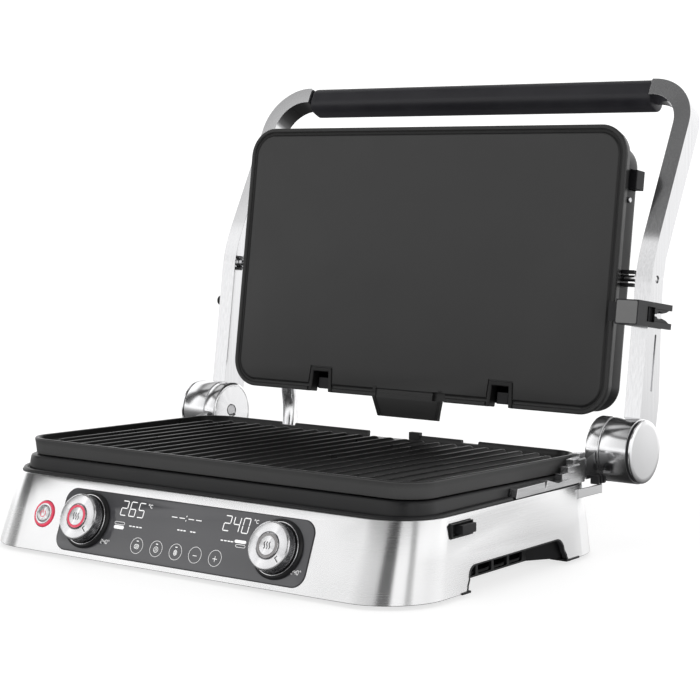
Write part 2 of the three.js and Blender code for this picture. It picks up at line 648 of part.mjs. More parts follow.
// Wiring duct that rises behind the hinge line from the base to the lid housing.
function lidConduit() {
  const path = new THREE.CatmullRomCurve3([
    V3(-128, 241, 40), V3(-131, 256, 43), V3(-137, 271, 58), V3(-139, 274.5, 80), V3(-139, 271.6, 95),
    V3(-139, 272.4, 104),
  ]);
  return tube(path, 6.6, 20, 10);
}

// ---------- assembly ----------
const steel = { color: 0xc9cacb, metalness: 1, roughness: 0.3 };
const satin = { color: 0xd6d7d9, metalness: 1, roughness: 0.25 };
const black = { color: 0x17181a, metalness: 0, roughness: 0.5 };
const coated = { color: 0x2a2a2b, metalness: 0.3, roughness: 0.55 };
const glass = { color: 0x3c3c40, metalness: 0, roughness: 0.15 };
const rubber = { color: 0x101011, metalness: 0, roughness: 0.9 };
const red = { color: 0xd03838, metalness: 0, roughness: 0.4 };
const board = { color: 0x1f5a3a, metalness: 0, roughness: 0.6 };
const alloy = { color: 0xb9babc, metalness: 1, roughness: 0.4 };

const nodes = {
  base_shell: [baseShell(), steel],
  base_deck: [baseDeck(), black],
  base_floor: [baseFloor(), black],
  foot_front_left: [foot(-164, -8), rubber],
  foot_front_right: [foot(164, -8), rubber],
  foot_rear_left: [foot(-164, 208), rubber],
  foot_rear_right: [foot(164, 208), rubber],
  side_vent_left: [sideVent(-1), black],
  side_vent_right: [sideVent(1), black],
  drip_tray: [dripTray(), black],
  power_inlet: [powerInlet(), black],
  power_board: [powerBoard(), board],
  control_panel: [controlPanel(), glass],
  panel_board: [panelBoard(), board],
  display_module: [displayModule(), black],
  knob_collar_left: [knobCollar(-1), black],
  knob_collar_right: [knobCollar(1), black],
  encoder_left: [encoder(-1), black],
  encoder_right: [encoder(1), black],
  knob_left: [knob(-1), satin],
  knob_right: [knob(1), satin],
  sear_button_left: [searButton(-1), satin],
  sear_button_right: [searButton(1), satin],
  start_ring: [startRing(), red],
  start_button: [startButton(), satin],
  release_bezel: [releaseBezel(), black],
  lower_release_button: [lowerRelease(), black],
  lower_plate: [lowerPlate(), coated],
  lower_heater: [lowerHeater(), alloy],
  lower_reflector: [lowerReflector(), alloy],
  lower_thermostat: [thermostat(50.4), black],
  hinge_bracket_left: [hingeBracket(-1), satin],
  hinge_bracket_right: [hingeBracket(1), satin],
  hinge_shaft_left: [hingeShaft(-1), alloy],
  hinge_shaft_right: [hingeShaft(1), alloy],
  hinge_spring_left: [hingeSpring(-1), alloy],
  hinge_spring_right: [hingeSpring(1), alloy],
  stair_ladder: [stairLadder(), satin],
  hinge_barrel_left: [hingeBarrel(-1), satin],
  hinge_barrel_right: [hingeBarrel(1), satin],
  hinge_cap_left: [hingeCap(-1), satin],
  hinge_cap_right: [hingeCap(1), satin],
  arm_left: [arm(-1), satin],
  arm_right: [arm(1), satin],
  handle_grip: [handleGrip(), black],
  handle_tube: [handleTube(), alloy],
  pivot_pin_left: [pivotPin(-1), alloy],
  pivot_pin_right: [pivotPin(1), alloy],
  stop_pin_left: [stopPinLeft(), black],
  height_slider: [heightSlider(), black],
  upper_shell: [upperShell(), black],
  upper_plate: [upperPlate(), coated],
  upper_heater: [upperHeater(), alloy],
  upper_reflector: [upperReflector(), alloy],
  upper_thermostat: [upperThermostat(), black],
  upper_release_button: [upperRelease(), black],
  lid_conduit: [lidConduit(), satin],
};

const press = new THREE.Group();
press.name = 'panini_press';
for (const [name, [geometry, look]] of Object.entries(nodes)) {
  const body = clean(geometry);
  body.computeVertexNormals();
  const mesh = new THREE.Mesh(body, new THREE.MeshStandardMaterial(look));
  mesh.name = name;
  press.add(mesh);
}
// The origin goes to the middle of the footprint, with the feet standing at height zero.
const extent = new THREE.Box3().setFromObject(press);
const shift = [0, -(extent.min.y + extent.max.y) / 2, FOOT_DROP];
press.children.forEach((mesh) => mesh.geometry.translate(...shift));

export default press;
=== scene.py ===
"""Panini press standing open: the visible pieces, their finishes, a plain pale studio and the camera."""
import math

import bmesh
import bpy
from mathutils import Matrix, Vector

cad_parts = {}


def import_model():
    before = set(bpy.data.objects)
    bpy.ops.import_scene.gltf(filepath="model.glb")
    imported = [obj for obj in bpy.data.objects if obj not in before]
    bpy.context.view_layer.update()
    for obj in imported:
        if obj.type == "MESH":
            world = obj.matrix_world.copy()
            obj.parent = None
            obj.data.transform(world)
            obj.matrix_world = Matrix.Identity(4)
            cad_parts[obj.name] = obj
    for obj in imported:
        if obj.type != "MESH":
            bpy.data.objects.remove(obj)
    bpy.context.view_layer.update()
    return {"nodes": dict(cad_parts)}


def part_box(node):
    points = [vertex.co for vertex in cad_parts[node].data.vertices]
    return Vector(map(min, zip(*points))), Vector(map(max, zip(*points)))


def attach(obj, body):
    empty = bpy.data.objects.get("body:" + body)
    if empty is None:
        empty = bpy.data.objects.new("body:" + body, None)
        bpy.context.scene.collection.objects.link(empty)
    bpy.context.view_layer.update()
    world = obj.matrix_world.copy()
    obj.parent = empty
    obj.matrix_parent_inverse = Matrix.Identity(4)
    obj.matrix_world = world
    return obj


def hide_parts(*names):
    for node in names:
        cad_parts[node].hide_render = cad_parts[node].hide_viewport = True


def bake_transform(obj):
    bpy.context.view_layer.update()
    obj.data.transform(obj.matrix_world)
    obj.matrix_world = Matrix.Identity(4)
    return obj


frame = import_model()

# ---------- sizes, in millimetres, in the base's own axes ----------
# x runs across, y to the back from the lower plate's front edge, z up from the shell's lower edge.
MM = 0.001
SHELL_H = 53.5
SHELL_WALL = 1.4
SHELL_FALL = 0.0063
SHELL_BOTTOM = {"half": 202.8, "front": -36.2, "rear": 238.0, "r": 46.7}
SHELL_TOP = {"half": 196.3, "front": -14.8, "rear": 230.0, "r": 39.0}
PLATE_HALF, PLATE_DEPTH, PLATE_R = 186.6, 223.8, 24.0
PLATE_TOP, PLATE_SLOPE, PLATE_SKIRT = 77.8, 1.41, 12.5
RIB_PITCH, RIB_COUNT = 15.2, 23
DRAIN = (-15.0, 26.5)
DRAIN_TAB, DRAIN_RISE = 10.0, 2.4
HINGE_Y, HINGE_Z, HINGE_R = 249.2, 72.7, 24.8
LID_TILT = math.radians(96.6 + PLATE_SLOPE)
LID_NEAR, LID_FAR = 23.7, 249.2
ARM_X0, ARM_X1, ARM_DEEP, ARM_BEND = 200.0, 214.0, 18.0, math.radians(19.5)
ARM_V, ARM_N = 215.0, -30.1
KNEE_V, KNEE_N, KNEE_LOW, KNEE_HIGH = 144.1, -5.0, 16.0, 26.0
CORNER_R, CORNER_TOP = 40.0, 84.6
GRIP_HALF, GRIP_LOW, GRIP_HIGH, GRIP_BACK, GRIP_FRONT, GRIP_R = 171.4, 65.2, 88.2, -26.4, -2.6, 8.6
PIVOT_V, PIVOT_N = 131.5, -14.0
PANEL_HALF, PANEL_LOW, PANEL_HIGH, PANEL_R, PANEL_FACE = 117.6, 4.5, 51.0, 10.0, 0.7
KNOB_X, KNOB_S, KNOB_R, KNOB_DEEP = 90.5, 28.5, 17.4, 13.0
START_X, START_S, START_R = -136.5, 28.5, 10.0
WINDOW_GAP = 0.4
DECK_HALF, DECK_FRONT, DECK_REAR = 188.2, -2.6, 225.2
TRAY_HALF, TRAY_FRONT, TRAY_REAR, TRAY_LOW, TRAY_HIGH, TRAY_WALL = 69.0, 128.0, 236.0, 9.4, 33.4, 2.2
INLET_X, INLET_Y, INLET_Z, INLET_LEAN = 120.0, 236.9, 22.0, 0.15
BEZEL_Y0, BEZEL_Y1, BEZEL_Z0, BEZEL_Z1 = 24.0, 50.0, 38.6, 48.4
SLIDER_V0, SLIDER_V1 = 94.6, 113.6
HOUSING_HALF, HOUSING_NEAR, HOUSING_FAR, HOUSING_R, HOUSING_BACK = 184.0, 27.0, 236.5, 20.0, -28.5
LINER_X, LINER_WALL, LINER_FRONT, LINER_TURN, LINER_END = 179.0, 2.4, 37.0, 147.0, 171.5
NOTCH_X = 90.0
PRINT_DEEP, PRINT_HIGH = 0.03, 0.07
DUCT_R = 6.6
KNURL_TEETH, POINTER_TURN = 96, math.radians(-42)
EYE, EYE_TILT, EYE_TURN = (910.18, -1036.34, 289.44), math.radians(84.47), math.radians(36.9)
FOCAL, FILM = 99.31, 36
FLOOR_REACH = 6000
HOLD_Y0, HOLD_Y1, HOLD_TOP, HOLD_R, HOLD_FLARE, HOLD_LEAN = 39.0, 170.3, 17.6, 9.0, 5.0, 2.5

# ---------- frames ----------
shell_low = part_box("base_shell")[0]
BASE = Matrix.Translation((0, shell_low.y - SHELL_BOTTOM["front"] * MM, shell_low.z)) @ Matrix.Scale(MM, 4)
MIRROR = Matrix.Scale(-1, 4, (1, 0, 0))
SIDES = ((1, "right"), (-1, "left"))
RING_STEPS = 14
JOIN, CUT = "UNION", "DIFFERENCE"


def handed(where, side):
    """A frame, or its mirror image when the side is the left one."""
    return where @ MIRROR if side < 0 else where


def axes(ax, ay, az, origin):
    """A matrix whose columns are the three axes and the origin."""
    turn = Matrix((ax, ay, az)).transposed().to_4x4()
    turn.translation = origin
    return turn


def about_x(angle, origin):
    """Axes turned about X: the second one leans from Y towards Z by the angle."""
    c, s = math.cos(angle), math.sin(angle)
    return axes((1, 0, 0), (0, c, s), (0, -s, c), origin)


wall_lean = math.atan2(SHELL_TOP["front"] - SHELL_BOTTOM["front"], SHELL_H)
# Front wall: x across, y up the wall, z out of it.
WALL = BASE @ about_x(math.pi / 2 - wall_lean, (0, SHELL_BOTTOM["front"], 0))
# Lid: x across, y away from the hinge, z out of the cooking face.
LID = BASE @ about_x(math.pi - LID_TILT, (0, HINGE_Y, HINGE_Z))
# Lower plate: x across, y to the back, z out of the cooking face.
PLATE = BASE @ about_x(-math.radians(PLATE_SLOPE), (0, 0, PLATE_TOP))
# Upper arm: x across, y up the bent-back arm, z out of its front.
UPPER = about_x(-ARM_BEND, (0, ARM_V, ARM_N))
ARM_UP = LID @ UPPER
# Swaps axes so that a body of revolution about z, or an extrusion along z, lies along x.
ALONG_X = axes((0, 1, 0), (0, 0, 1), (1, 0, 0), (0, 0, 0))
UPSIDE_DOWN = Matrix.Rotation(math.pi, 4, "X")
# The right hinge's axis, in the base's axes.
HINGE = Matrix.Translation((0, HINGE_Y, HINGE_Z)) @ ALONG_X


# ---------- mesh helpers: a part is (points, faces) in millimetres ----------
def arc(cx, cy, r, start, end, steps):
    """Points of an arc, angles in degrees."""
    turns = [math.radians(start + (end - start) * i / steps) for i in range(steps + 1)]
    return [(cx + r * math.cos(a), cy + r * math.sin(a)) for a in turns]


def round_rect(x0, x1, y0, y1, r, steps=12):
    """A rectangle's outline with round corners."""
    corners = [(x1 - r, y1 - r), (x0 + r, y1 - r), (x0 + r, y0 + r), (x1 - r, y0 + r)]
    return [p for k, (cx, cy) in enumerate(corners) for p in arc(cx, cy, r, 90 * k, 90 * k + 90, steps)]


def loft(rings, loop=False):
    """Skin over rings of equal point counts: a closed loop of rings, or a stack with flat ends."""
    n = len(rings[0])
    points = [p for ring in rings for p in ring]
    faces = []
    for k in range(len(rings) if loop else len(rings) - 1):
        a, b = k * n, (k + 1) % len(rings) * n
        faces += [(a + i, a + (i + 1) % n, b + (i + 1) % n, b + i) for i in range(n)]
    if not loop:
        last = (len(rings) - 1) * n
        faces += [tuple(range(n))[::-1], tuple(range(last, last + n))]
    return points, faces


def prism(outline, z0, z1):
    """An outline of (x, y) points extruded along z."""
    return loft([levelled(outline, z0), levelled(outline, z1)])


def block(x0, x1, y0, y1, z0, z1):
    return prism([(x0, y0), (x1, y0), (x1, y1), (x0, y1)], z0, z1)


def placed(part, matrix):
    points, faces = part
    return [matrix @ Vector(p) for p in points], faces


def levelled(outline, level):
    """An outline with a height, or a height worked out from y, at each point."""
    return [(x, y, level(y) if callable(level) else level) for x, y in outline]


def rim(half, near, far, r, level, inset=0.0):
    """A rounded rectangle from near to far, moved in by inset, as a ring at a level."""
    outline = round_rect(inset - half, half - inset, near + inset, far - inset, r - inset, RING_STEPS)
    return levelled(outline, level)


def across(outline, x0, x1):
    """An outline of (y, z) points extruded along x."""
    return placed(prism(outline, x0, x1), ALONG_X)


def rod_profile(r, z0, z1):
    """The profile of a plain round bar."""
    return [(0, z0), (r, z0), (r, z1), (0, z1)]


def band(r0, r1, z0, z1):
    """The profile of a square-cut ring."""
    return [(r0, z0), (r1, z0), (r1, z1), (r0, z1)]


def lathe(profile, steps=64, cx=0.0, cy=0.0, loop=False):
    """(radius, z) points turned about z. Points on the axis are merged when the mesh is made."""
    turns = [2 * math.pi * i / steps for i in range(steps)]
    rings = [[(cx + r * math.cos(a), cy + r * math.sin(a), z) for r, z in profile] for a in turns]
    n = len(profile)
    points = [p for ring in rings for p in ring]
    spans = n if loop else n - 1
    faces = []
    for k in range(steps):
        a, b = k * n, (k + 1) % steps * n
        faces += [(a + i, a + (i + 1) % n, b + (i + 1) % n, b + i) for i in range(spans)]
    return points, faces


def mesh_of(name, parts, where):
    """One mesh in metres from parts in a frame, with shared points merged and faces turned out."""
    points, faces = [], []
    for part_points, part_faces in parts:
        start = len(points)
        points += [where @ Vector(p) for p in part_points]
        faces += [[start + i for i in face] for face in part_faces]
    mesh = bpy.data.meshes.new(name)
    mesh.from_pydata(points, [], faces)
    bm = bmesh.new()
    bm.from_mesh(mesh)
    bmesh.ops.remove_doubles(bm, verts=bm.verts, dist=2e-7)
    bmesh.ops.recalc_face_normals(bm, faces=bm.faces)
    bm.to_mesh(mesh)
    bm.free()
    return mesh


def link(name, mesh):
    piece = bpy.data.objects.new(name, mesh)
    bpy.context.scene.collection.objects.link(piece)
    return piece


def shown_mesh(thing):
    """The mesh of an object as shown, with its modifiers applied."""
    shown = bpy.context.evaluated_depsgraph_get()
    return bpy.data.meshes.new_from_object(thing.evaluated_get(shown), depsgraph=shown)


def shape(piece, parts, where, operation):
    """Joins parts to a piece, or cuts them from it, all at once."""
    tool = link("tool", mesh_of("tool", parts, where))
    change = piece.modifiers.new("shape", "BOOLEAN")
    change.operation = operation
    change.solver = "EXACT"
    change.use_self = len(parts) > 1
    change.object = tool
    mesh = shown_mesh(piece)
    piece.modifiers.clear()
    piece.data = mesh
    bpy.data.objects.remove(tool)


def worked(piece, where, *steps):
    """Joins or cuts (operation, part) pairs one after another."""
    for operation, part in steps:
        shape(piece, [part], where, operation)
    return piece


def built(name, parts, where, adds=(), cuts=()):
    """A piece made of parts, with others joined to it and then others cut from it."""
    piece = link(name, mesh_of(name, parts, where))
    if adds:
        shape(piece, adds, where, JOIN)
    if cuts:
        shape(piece, cuts, where, CUT)
    return piece


def make(name, parts, where, finish, body, replaces=(), bevel=0.3, segments=2, angle=32, cuts=(), adds=(),
         side=1):
    """A finished piece: built, joined, cut, bevelled, given its material and put on its body."""
    piece = built(name, parts, handed(where, side), adds, cuts)
    return dress(piece, finish, body, replaces, bevel, segments, angle)


def dress(piece, finish, body, replaces=(), bevel=0.3, segments=2, angle=32):
    """Gives a built piece its material, shading and bevelled edges, and puts it on its body."""
    piece.data.materials.clear()
    piece.data.materials.append(finish.material)
    piece.data.shade_smooth()
    piece.data.set_sharp_from_angle(angle=math.radians(angle))
    if bevel:
        edge = piece.modifiers.new("edges", "BEVEL")
        edge.width = bevel * MM
        edge.segments = segments
        edge.limit_method = "ANGLE"
        edge.angle_limit = math.radians(angle)
        edge.harden_normals = True
        edge.use_clamp_overlap = True
    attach(piece, body)
    if replaces:
        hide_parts(*replaces)
    return piece


def second_finish(piece, where, finish, chosen):
    """Gives a second material to the faces whose centre and normal, in a frame's axes, are chosen."""
    piece.data.materials.append(finish.material)
    back = where.inverted()
    turn = back.to_3x3()
    for face in piece.data.polygons:
        if chosen(back @ face.center, (turn @ face.normal).normalized()):
            face.material_index = 1


# ---------- materials ----------
class Nodes:
    """A node tree with short ways to add nodes and join them."""

    def __init__(self, tree):
        self.tree = tree

    def feed(self, socket, value):
        """Sets an input's value, or links another node's output to it."""
        if isinstance(value, bpy.types.NodeSocket):
            self.tree.links.new(value, socket)
        else:
            socket.default_value = value

    def node(self, kind, inputs=(), **settings):
        """A new node, with inputs set or linked by name or number."""
        made = self.tree.nodes.new(kind)
        for key, value in settings.items():
            setattr(made, key, value)
        for key, value in dict(inputs).items():
            self.feed(made.inputs[key], value)
        return made

    def math(self, operation, *values):
        return self.node("ShaderNodeMath", enumerate(values), operation=operation).outputs[0]

    def ranged(self, value, low=0.0, high=1.0, start=0.3, end=0.7):
        """A value's range from start to end, turned into low to high."""
        return self.node("ShaderNodeMapRange", {"Value": value, "From Min": start, "From Max": end,
                                                "To Min": low, "To Max": high}).outputs["Result"]


class Finish(Nodes):
    """A procedural material and the record's slot that it belongs to."""

    def __init__(self, name, slot, **sockets):
        self.material = bpy.data.materials.new(name)
        self.material.use_nodes = True
        super().__init__(self.material.node_tree)
        self.slot = slot
        self.shader = self.tree.nodes["Principled BSDF"]
        for key, value in sockets.items():
            self.look(key.replace("_", " "), value)
        self.place = self.node("ShaderNodeTexCoord").outputs["Object"]

    def look(self, key, value):
        """Sets or links one of the shader's inputs."""
        self.feed(self.shader.inputs[key], value)

    def noise(self, scale, detail=4.0, rough=0.6):
        """Noise over the object; the scale is in features per metre, along each axis or along all."""
        scale = scale if isinstance(scale, tuple) else (scale, scale, scale)
        stretched = self.node("ShaderNodeMapping", {"Vector": self.place, "Scale": scale}).outputs["Vector"]
        return self.node("ShaderNodeTexNoise", {"Vector": stretched, "Scale": 1.0, "Detail": detail,
                                                "Roughness": rough}).outputs["Fac"]

    def mixed(self, factor, *tones):
        """A colour between two colours or colour outputs."""
        made = self.node("ShaderNodeMix", {"Factor": factor}, data_type="RGBA")
        for socket, tone in zip(made.inputs[6:8], tones):
            self.feed(socket, (*tone, 1) if isinstance(tone, tuple) else tone)
        return made.outputs[2]

    def bump(self, height, distance, strength=1.0):
        """Adds relief, its distance in metres."""
        made = self.node("ShaderNodeBump", {"Height": height, "Distance": distance, "Strength": strength})
        self.look("Normal", made.outputs["Normal"])

    def worn_edges(self, base, worn):
        """Lightens convex edges, where handling polishes them."""
        point = self.node("ShaderNodeNewGeometry").outputs["Pointiness"]
        return self.mixed(self.ranged(point, start=0.53, end=0.62), base, worn)

    def spun(self):
        """Lets brushing run round the object's z axis."""
        self.look("Tangent", self.node("ShaderNodeTangent", direction_type="RADIAL", axis="Z").outputs[0])


def greys(low, high, blue=0.0):
    """A dark and a light grey, their blue lifted by a little."""
    return tuple((tone, tone, tone + blue) for tone in (low, high))


def brushed(name, slot, tones, streaks, rough, bump=1.2e-6, **sockets):
    """Metal with fine parallel brushing: streaks is the noise scale along x, y and z."""
    made = Finish(name, slot, Metallic=1.0, **sockets)
    fine, broad = made.noise(streaks, 5.0, 0.65), made.noise(14.0, 2.0)
    tone = made.mixed(made.ranged(broad, 0.0, 0.35), made.mixed(made.ranged(fine), *tones), tones[1])
    made.look("Base Color", made.worn_edges(tone, tones[1]))
    both = made.math("MULTIPLY_ADD", fine, 0.7, broad)
    made.look("Roughness", made.ranged(both, *rough, 0.55, 1.15))
    made.bump(fine, bump)
    return made


def moulded(name, slot, tones, grain, rough, depth=6e-6, wear=None, **sockets):
    """Moulded plastic or cast coating with a fine grain."""
    made = Finish(name, slot, **sockets)
    grains, broad = made.noise(grain, 3.0, 0.55), made.noise(22.0, 3.0)
    tone = made.mixed(made.ranged(broad), *tones)
    made.look("Base Color", made.worn_edges(tone, wear or tuple(1.6 * c for c in tones[1])))
    made.look("Roughness", made.ranged(broad, *rough))
    made.bump(grains, depth)
    return made


shell_steel = brushed("shell_steel", "shell_steel", greys(0.86, 0.95, 0.005), (6.0, 6.0, 2600.0),
                      (0.20, 0.30), bump=4e-7, Anisotropic=0.9, Anisotropic_Rotation=0.25)
shell_steel.spun()
arm_steel = brushed("arm_steel", "satin_steel", greys(0.66, 0.80, 0.01), (1100.0, 1100.0, 6.0),
                    (0.08, 0.15), bump=1e-7)
turned_steel = brushed("turned_steel", "satin_steel", greys(0.86, 0.95, 0.01), (1800.0, 9.0, 9.0),
                       (0.14, 0.22), bump=5e-8)
sheet_steel = brushed("sheet_steel", "satin_steel", greys(0.62, 0.86, 0.01), (60.0, 60.0, 1300.0),
                      (0.16, 0.28), bump=3e-7)
# Lighter copy of the satin steel for the step tops: painted highlight.
step_top_painted_light = brushed("step_top_painted_light", "satin_steel", greys(0.88, 0.97, 0.01), (90.0, 1200.0, 90.0),
                     (0.42, 0.55), bump=3e-7)
# The dial's knurled waist and bands: the dial's own metal painted darker than its face, as painted shade.
waist_painted_shade = brushed("waist_painted_shade", "dial_metal", ((0.26, 0.26, 0.265), (0.48, 0.48, 0.49)), 900.0,
                     (0.20, 0.30), bump=6e-7)
inner_metal = brushed("inner_metal", "inner_metal", greys(0.55, 0.74, 0.01), 30.0, (0.3, 0.45))
spring_wire = brushed("spring_wire", "spring_steel", greys(0.35, 0.55, 0.01), (40.0, 400.0, 400.0),
                      (0.25, 0.4))


def spun_metal_painted_sheen():
    """Spun metal: rings of fine grooves, with painted sheen: bright and dark sectors round the axis painted
    into its colour.
    """
    made = brushed("dial_metal", "dial_metal", greys(0.90, 0.97, 0.01), 300.0, (0.18, 0.28), bump=2e-7,
                   Anisotropic=0.9, Anisotropic_Rotation=0.25)
    made.spun()
    x, y, _ = made.node("ShaderNodeSeparateXYZ", {0: made.place}).outputs
    twice = made.math("MULTIPLY_ADD", made.math("ARCTAN2", y, x), 2.0, 0.9)
    wave = made.node("ShaderNodeTexNoise", noise_dimensions="1D")
    for key, value in (("Scale", 1.1), ("Detail", 1.5), ("W", made.math("SINE", twice))):
        made.feed(wave.inputs[key], value)
    # Painted sheen: the colour turns brighter and darker in wedges by angle round the axis, standing in for
    # the spun metal's reflections.
    plain = made.shader.inputs["Base Color"].links[0].from_socket
    painted_sheen_sectors = made.ranged(wave.outputs["Fac"], 0.0, 0.6)
    made.look("Base Color", made.mixed(painted_sheen_sectors, plain, (0.66, 0.66, 0.68)))
    return made


dial_metal = spun_metal_painted_sheen()
black_plastic = moulded("black_plastic", "black_plastic", ((0.006, 0.006, 0.0065), (0.011, 0.011, 0.012)),
                        3200.0, (0.30, 0.42), Specular_IOR_Level=0.32)
deck_plastic = moulded("deck_plastic", "black_plastic", ((0.007, 0.007, 0.0075), (0.012, 0.012, 0.013)),
                       3600.0, (0.30, 0.42), depth=3e-6, Specular_IOR_Level=0.40)
slider_plastic = moulded("slider_plastic", "black_plastic", greys(0.006, 0.011, 0.001), 2600.0,
                         (0.30, 0.42), Specular_IOR_Level=0.26)
slider_front = moulded("slider_front", "black_plastic", greys(0.11, 0.14), 2600.0, (0.36, 0.46),
                       wear=(0.2, 0.2, 0.2))
grip_plastic = moulded("grip_plastic", "grip_plastic", ((0.020, 0.0195, 0.0235), (0.028, 0.0275, 0.032)),
                       2400.0, (0.36, 0.46), depth=4e-6, Specular_IOR_Level=0.36)
# The plate coatings are one coating in several tones: darker on rims and ribs as painted shade, lighter on
# the upper plate's face and the lower plate's outer wall as painted light.
plate_coating = moulded("plate_coating", "plate_coating", greys(0.024, 0.031), 1700.0, (0.38, 0.48),
                        depth=1.0e-5, Specular_IOR_Level=0.26)
rim_painted_shade = moulded("rim_painted_shade", "plate_coating", greys(0.007, 0.012), 1700.0, (0.32, 0.44),
                      depth=8e-6, wear=(0.03, 0.03, 0.03), Specular_IOR_Level=0.32)
ribbed_painted_shade = moulded("ribbed_painted_shade", "plate_coating", greys(0.005, 0.009), 1900.0, (0.26, 0.38),
                         depth=9e-6, wear=(0.03, 0.03, 0.03), Specular_IOR_Level=0.25)
wall_painted_light = moulded("wall_painted_light", "plate_coating", greys(0.030, 0.042), 1700.0, (0.40, 0.52),
                       depth=1.2e-5, Specular_IOR_Level=0.32)
foot_rubber = moulded("foot_rubber", "foot_rubber", greys(0.010, 0.018), 1500.0, (0.75, 0.9), depth=2e-5)
board_green = moulded("board_green", "circuit_board", ((0.02, 0.12, 0.06), (0.04, 0.18, 0.10)),
                      900.0, (0.4, 0.6))


def panel_glass_finish():
    made = Finish("panel_glass", "panel_glass", Coat_Weight=1.0, Coat_Roughness=0.04, Roughness=0.42)
    haze, dust = made.noise(9.0, 2.0), made.noise(2500.0, 2.0)
    made.look("Base Color", made.mixed(made.ranged(haze), (0.060, 0.060, 0.066), (0.075, 0.075, 0.082)))
    made.look("Roughness", made.ranged(dust, 0.36, 0.48))
    made.bump(haze, 2e-5, 0.25)
    return made


def lit_finish(name, slot, colour, strength):
    """A translucent lens lit from behind."""
    made = Finish(name, slot, Roughness=0.3, Coat_Weight=0.6, Coat_Roughness=0.1, Emission_Strength=strength)
    haze = made.noise(700.0, 2.0)
    tone = made.mixed(made.ranged(haze), colour, tuple(min(1.0, 1.15 * c) for c in colour))
    for key in ("Base Color", "Emission Color"):
        made.look(key, tone)
    made.bump(haze, 4e-6)
    return made


panel_glass = panel_glass_finish()
red_lens = lit_finish("red_lens", "red_lens", (0.66, 0.045, 0.095), 0.28)
grey_lens = lit_finish("grey_lens", "red_lens", (0.28, 0.27, 0.27), 0.0)
panel_print = lit_finish("panel_print", "panel_glass", (0.86, 0.86, 0.86), 0.35)
dial_print = lit_finish("dial_print", "panel_glass", (0.02, 0.02, 0.02), 0.0)


# ---------- base ----------
def mix(a, b, share):
    return a + (b - a) * share


def shell_ring(share, inset, level):
    """A ring round the shell's wall, at a share of its height, moved in by inset."""
    sizes = (mix(SHELL_BOTTOM[key], SHELL_TOP[key], share) for key in ("half", "front", "rear", "r"))
    return rim(*sizes, level, inset)


def shell_top(rise):
    return lambda y: SHELL_H + rise - SHELL_FALL * (y - SHELL_TOP["front"])


def hold_outline():
    """The side hand hold, from its rear lower edge over the top to its front lower edge."""
    half, middle = (HOLD_Y1 - HOLD_Y0) / 2, (HOLD_Y0 + HOLD_Y1) / 2
    rear = [(half + HOLD_FLARE, -2.0)]
    rear += arc(half + HOLD_FLARE, HOLD_FLARE, HOLD_FLARE, 270, 180, 6)
    rear += arc(half - HOLD_LEAN - HOLD_R, HOLD_TOP - HOLD_R, HOLD_R, 0, 90, 8)
    front = [(-a, z) for a, z in reversed(rear)]
    return [(middle + a, z) for a, z in rear + front]


def shell_side(z):
    """Where the shell's side wall is, at a height."""
    return mix(SHELL_BOTTOM["half"], SHELL_TOP["half"], z / SHELL_H)


def base_shell():
    """The steel wall round the base, with its windows for the panel, buttons, hand holds and tray."""
    w = SHELL_WALL
    rows = [(0, 0.25, 0), (0, 0, 0.35), (0.5, 0, SHELL_H / 2), (0.995, 0, shell_top(-0.4)),
            (1, 0.25, shell_top(0)), (1, w, shell_top(-0.1)), (0.5, w, SHELL_H / 2), (0, w, 0)]
    wall = loft([shell_ring(*row) for row in rows], True)
    gap, through = WINDOW_GAP, 6
    window = prism(round_rect(-PANEL_HALF - gap, PANEL_HALF + gap, PANEL_LOW - gap, PANEL_HIGH + gap,
                              PANEL_R + gap), -through, through)
    start = lathe(rod_profile(START_R + gap, -through, through), 48, START_X, START_S)
    piece = built("shell", [wall], BASE)
    shape(piece, [window, start], WALL, CUT)
    shape(piece, [across(hold_outline(), -212, 212)], BASE, CUT)
    shape(piece, [block(190, 210, BEZEL_Y0 - gap, BEZEL_Y1 + gap, BEZEL_Z0 - gap, BEZEL_Z1 + gap),
                  block(-TRAY_HALF - 3, TRAY_HALF + 3, 224, 245, TRAY_LOW - 1.4, TRAY_HIGH + 1.2),
                  block(INLET_X - 9, INLET_X + 9, 224, 245, INLET_Z - 9, INLET_Z + 9)], BASE, CUT)
    dress(piece, shell_steel, "base", ["base_shell"], bevel=0.22, angle=40)


def hold_lips():
    """Thin black lining that shows as a dark line round each hand hold's edge."""
    outline = hold_outline()[1:-1]
    middle = Vector(((HOLD_Y0 + HOLD_Y1) / 2, -30.0))
    for side, name in SIDES:
        rings = []
        for y, z in outline:
            y1, z1 = Vector((y, z)) + (middle - Vector((y, z))).normalized() * 1.4
            outer, inner = shell_side(z) + 0.3, shell_side(z) - 3.2
            rings.append([(outer, y, z), (outer, y1, z1), (inner, y1, z1), (inner, y, z)])
        make("hold_lip_" + name, [loft(rings)], BASE, black_plastic, "base", bevel=0, angle=50, side=side)


def platform(inset, level):
    """A ring round the raised seat under the lower plate."""
    return rim(DECK_HALF, DECK_FRONT, DECK_REAR, PLATE_R, level, inset)


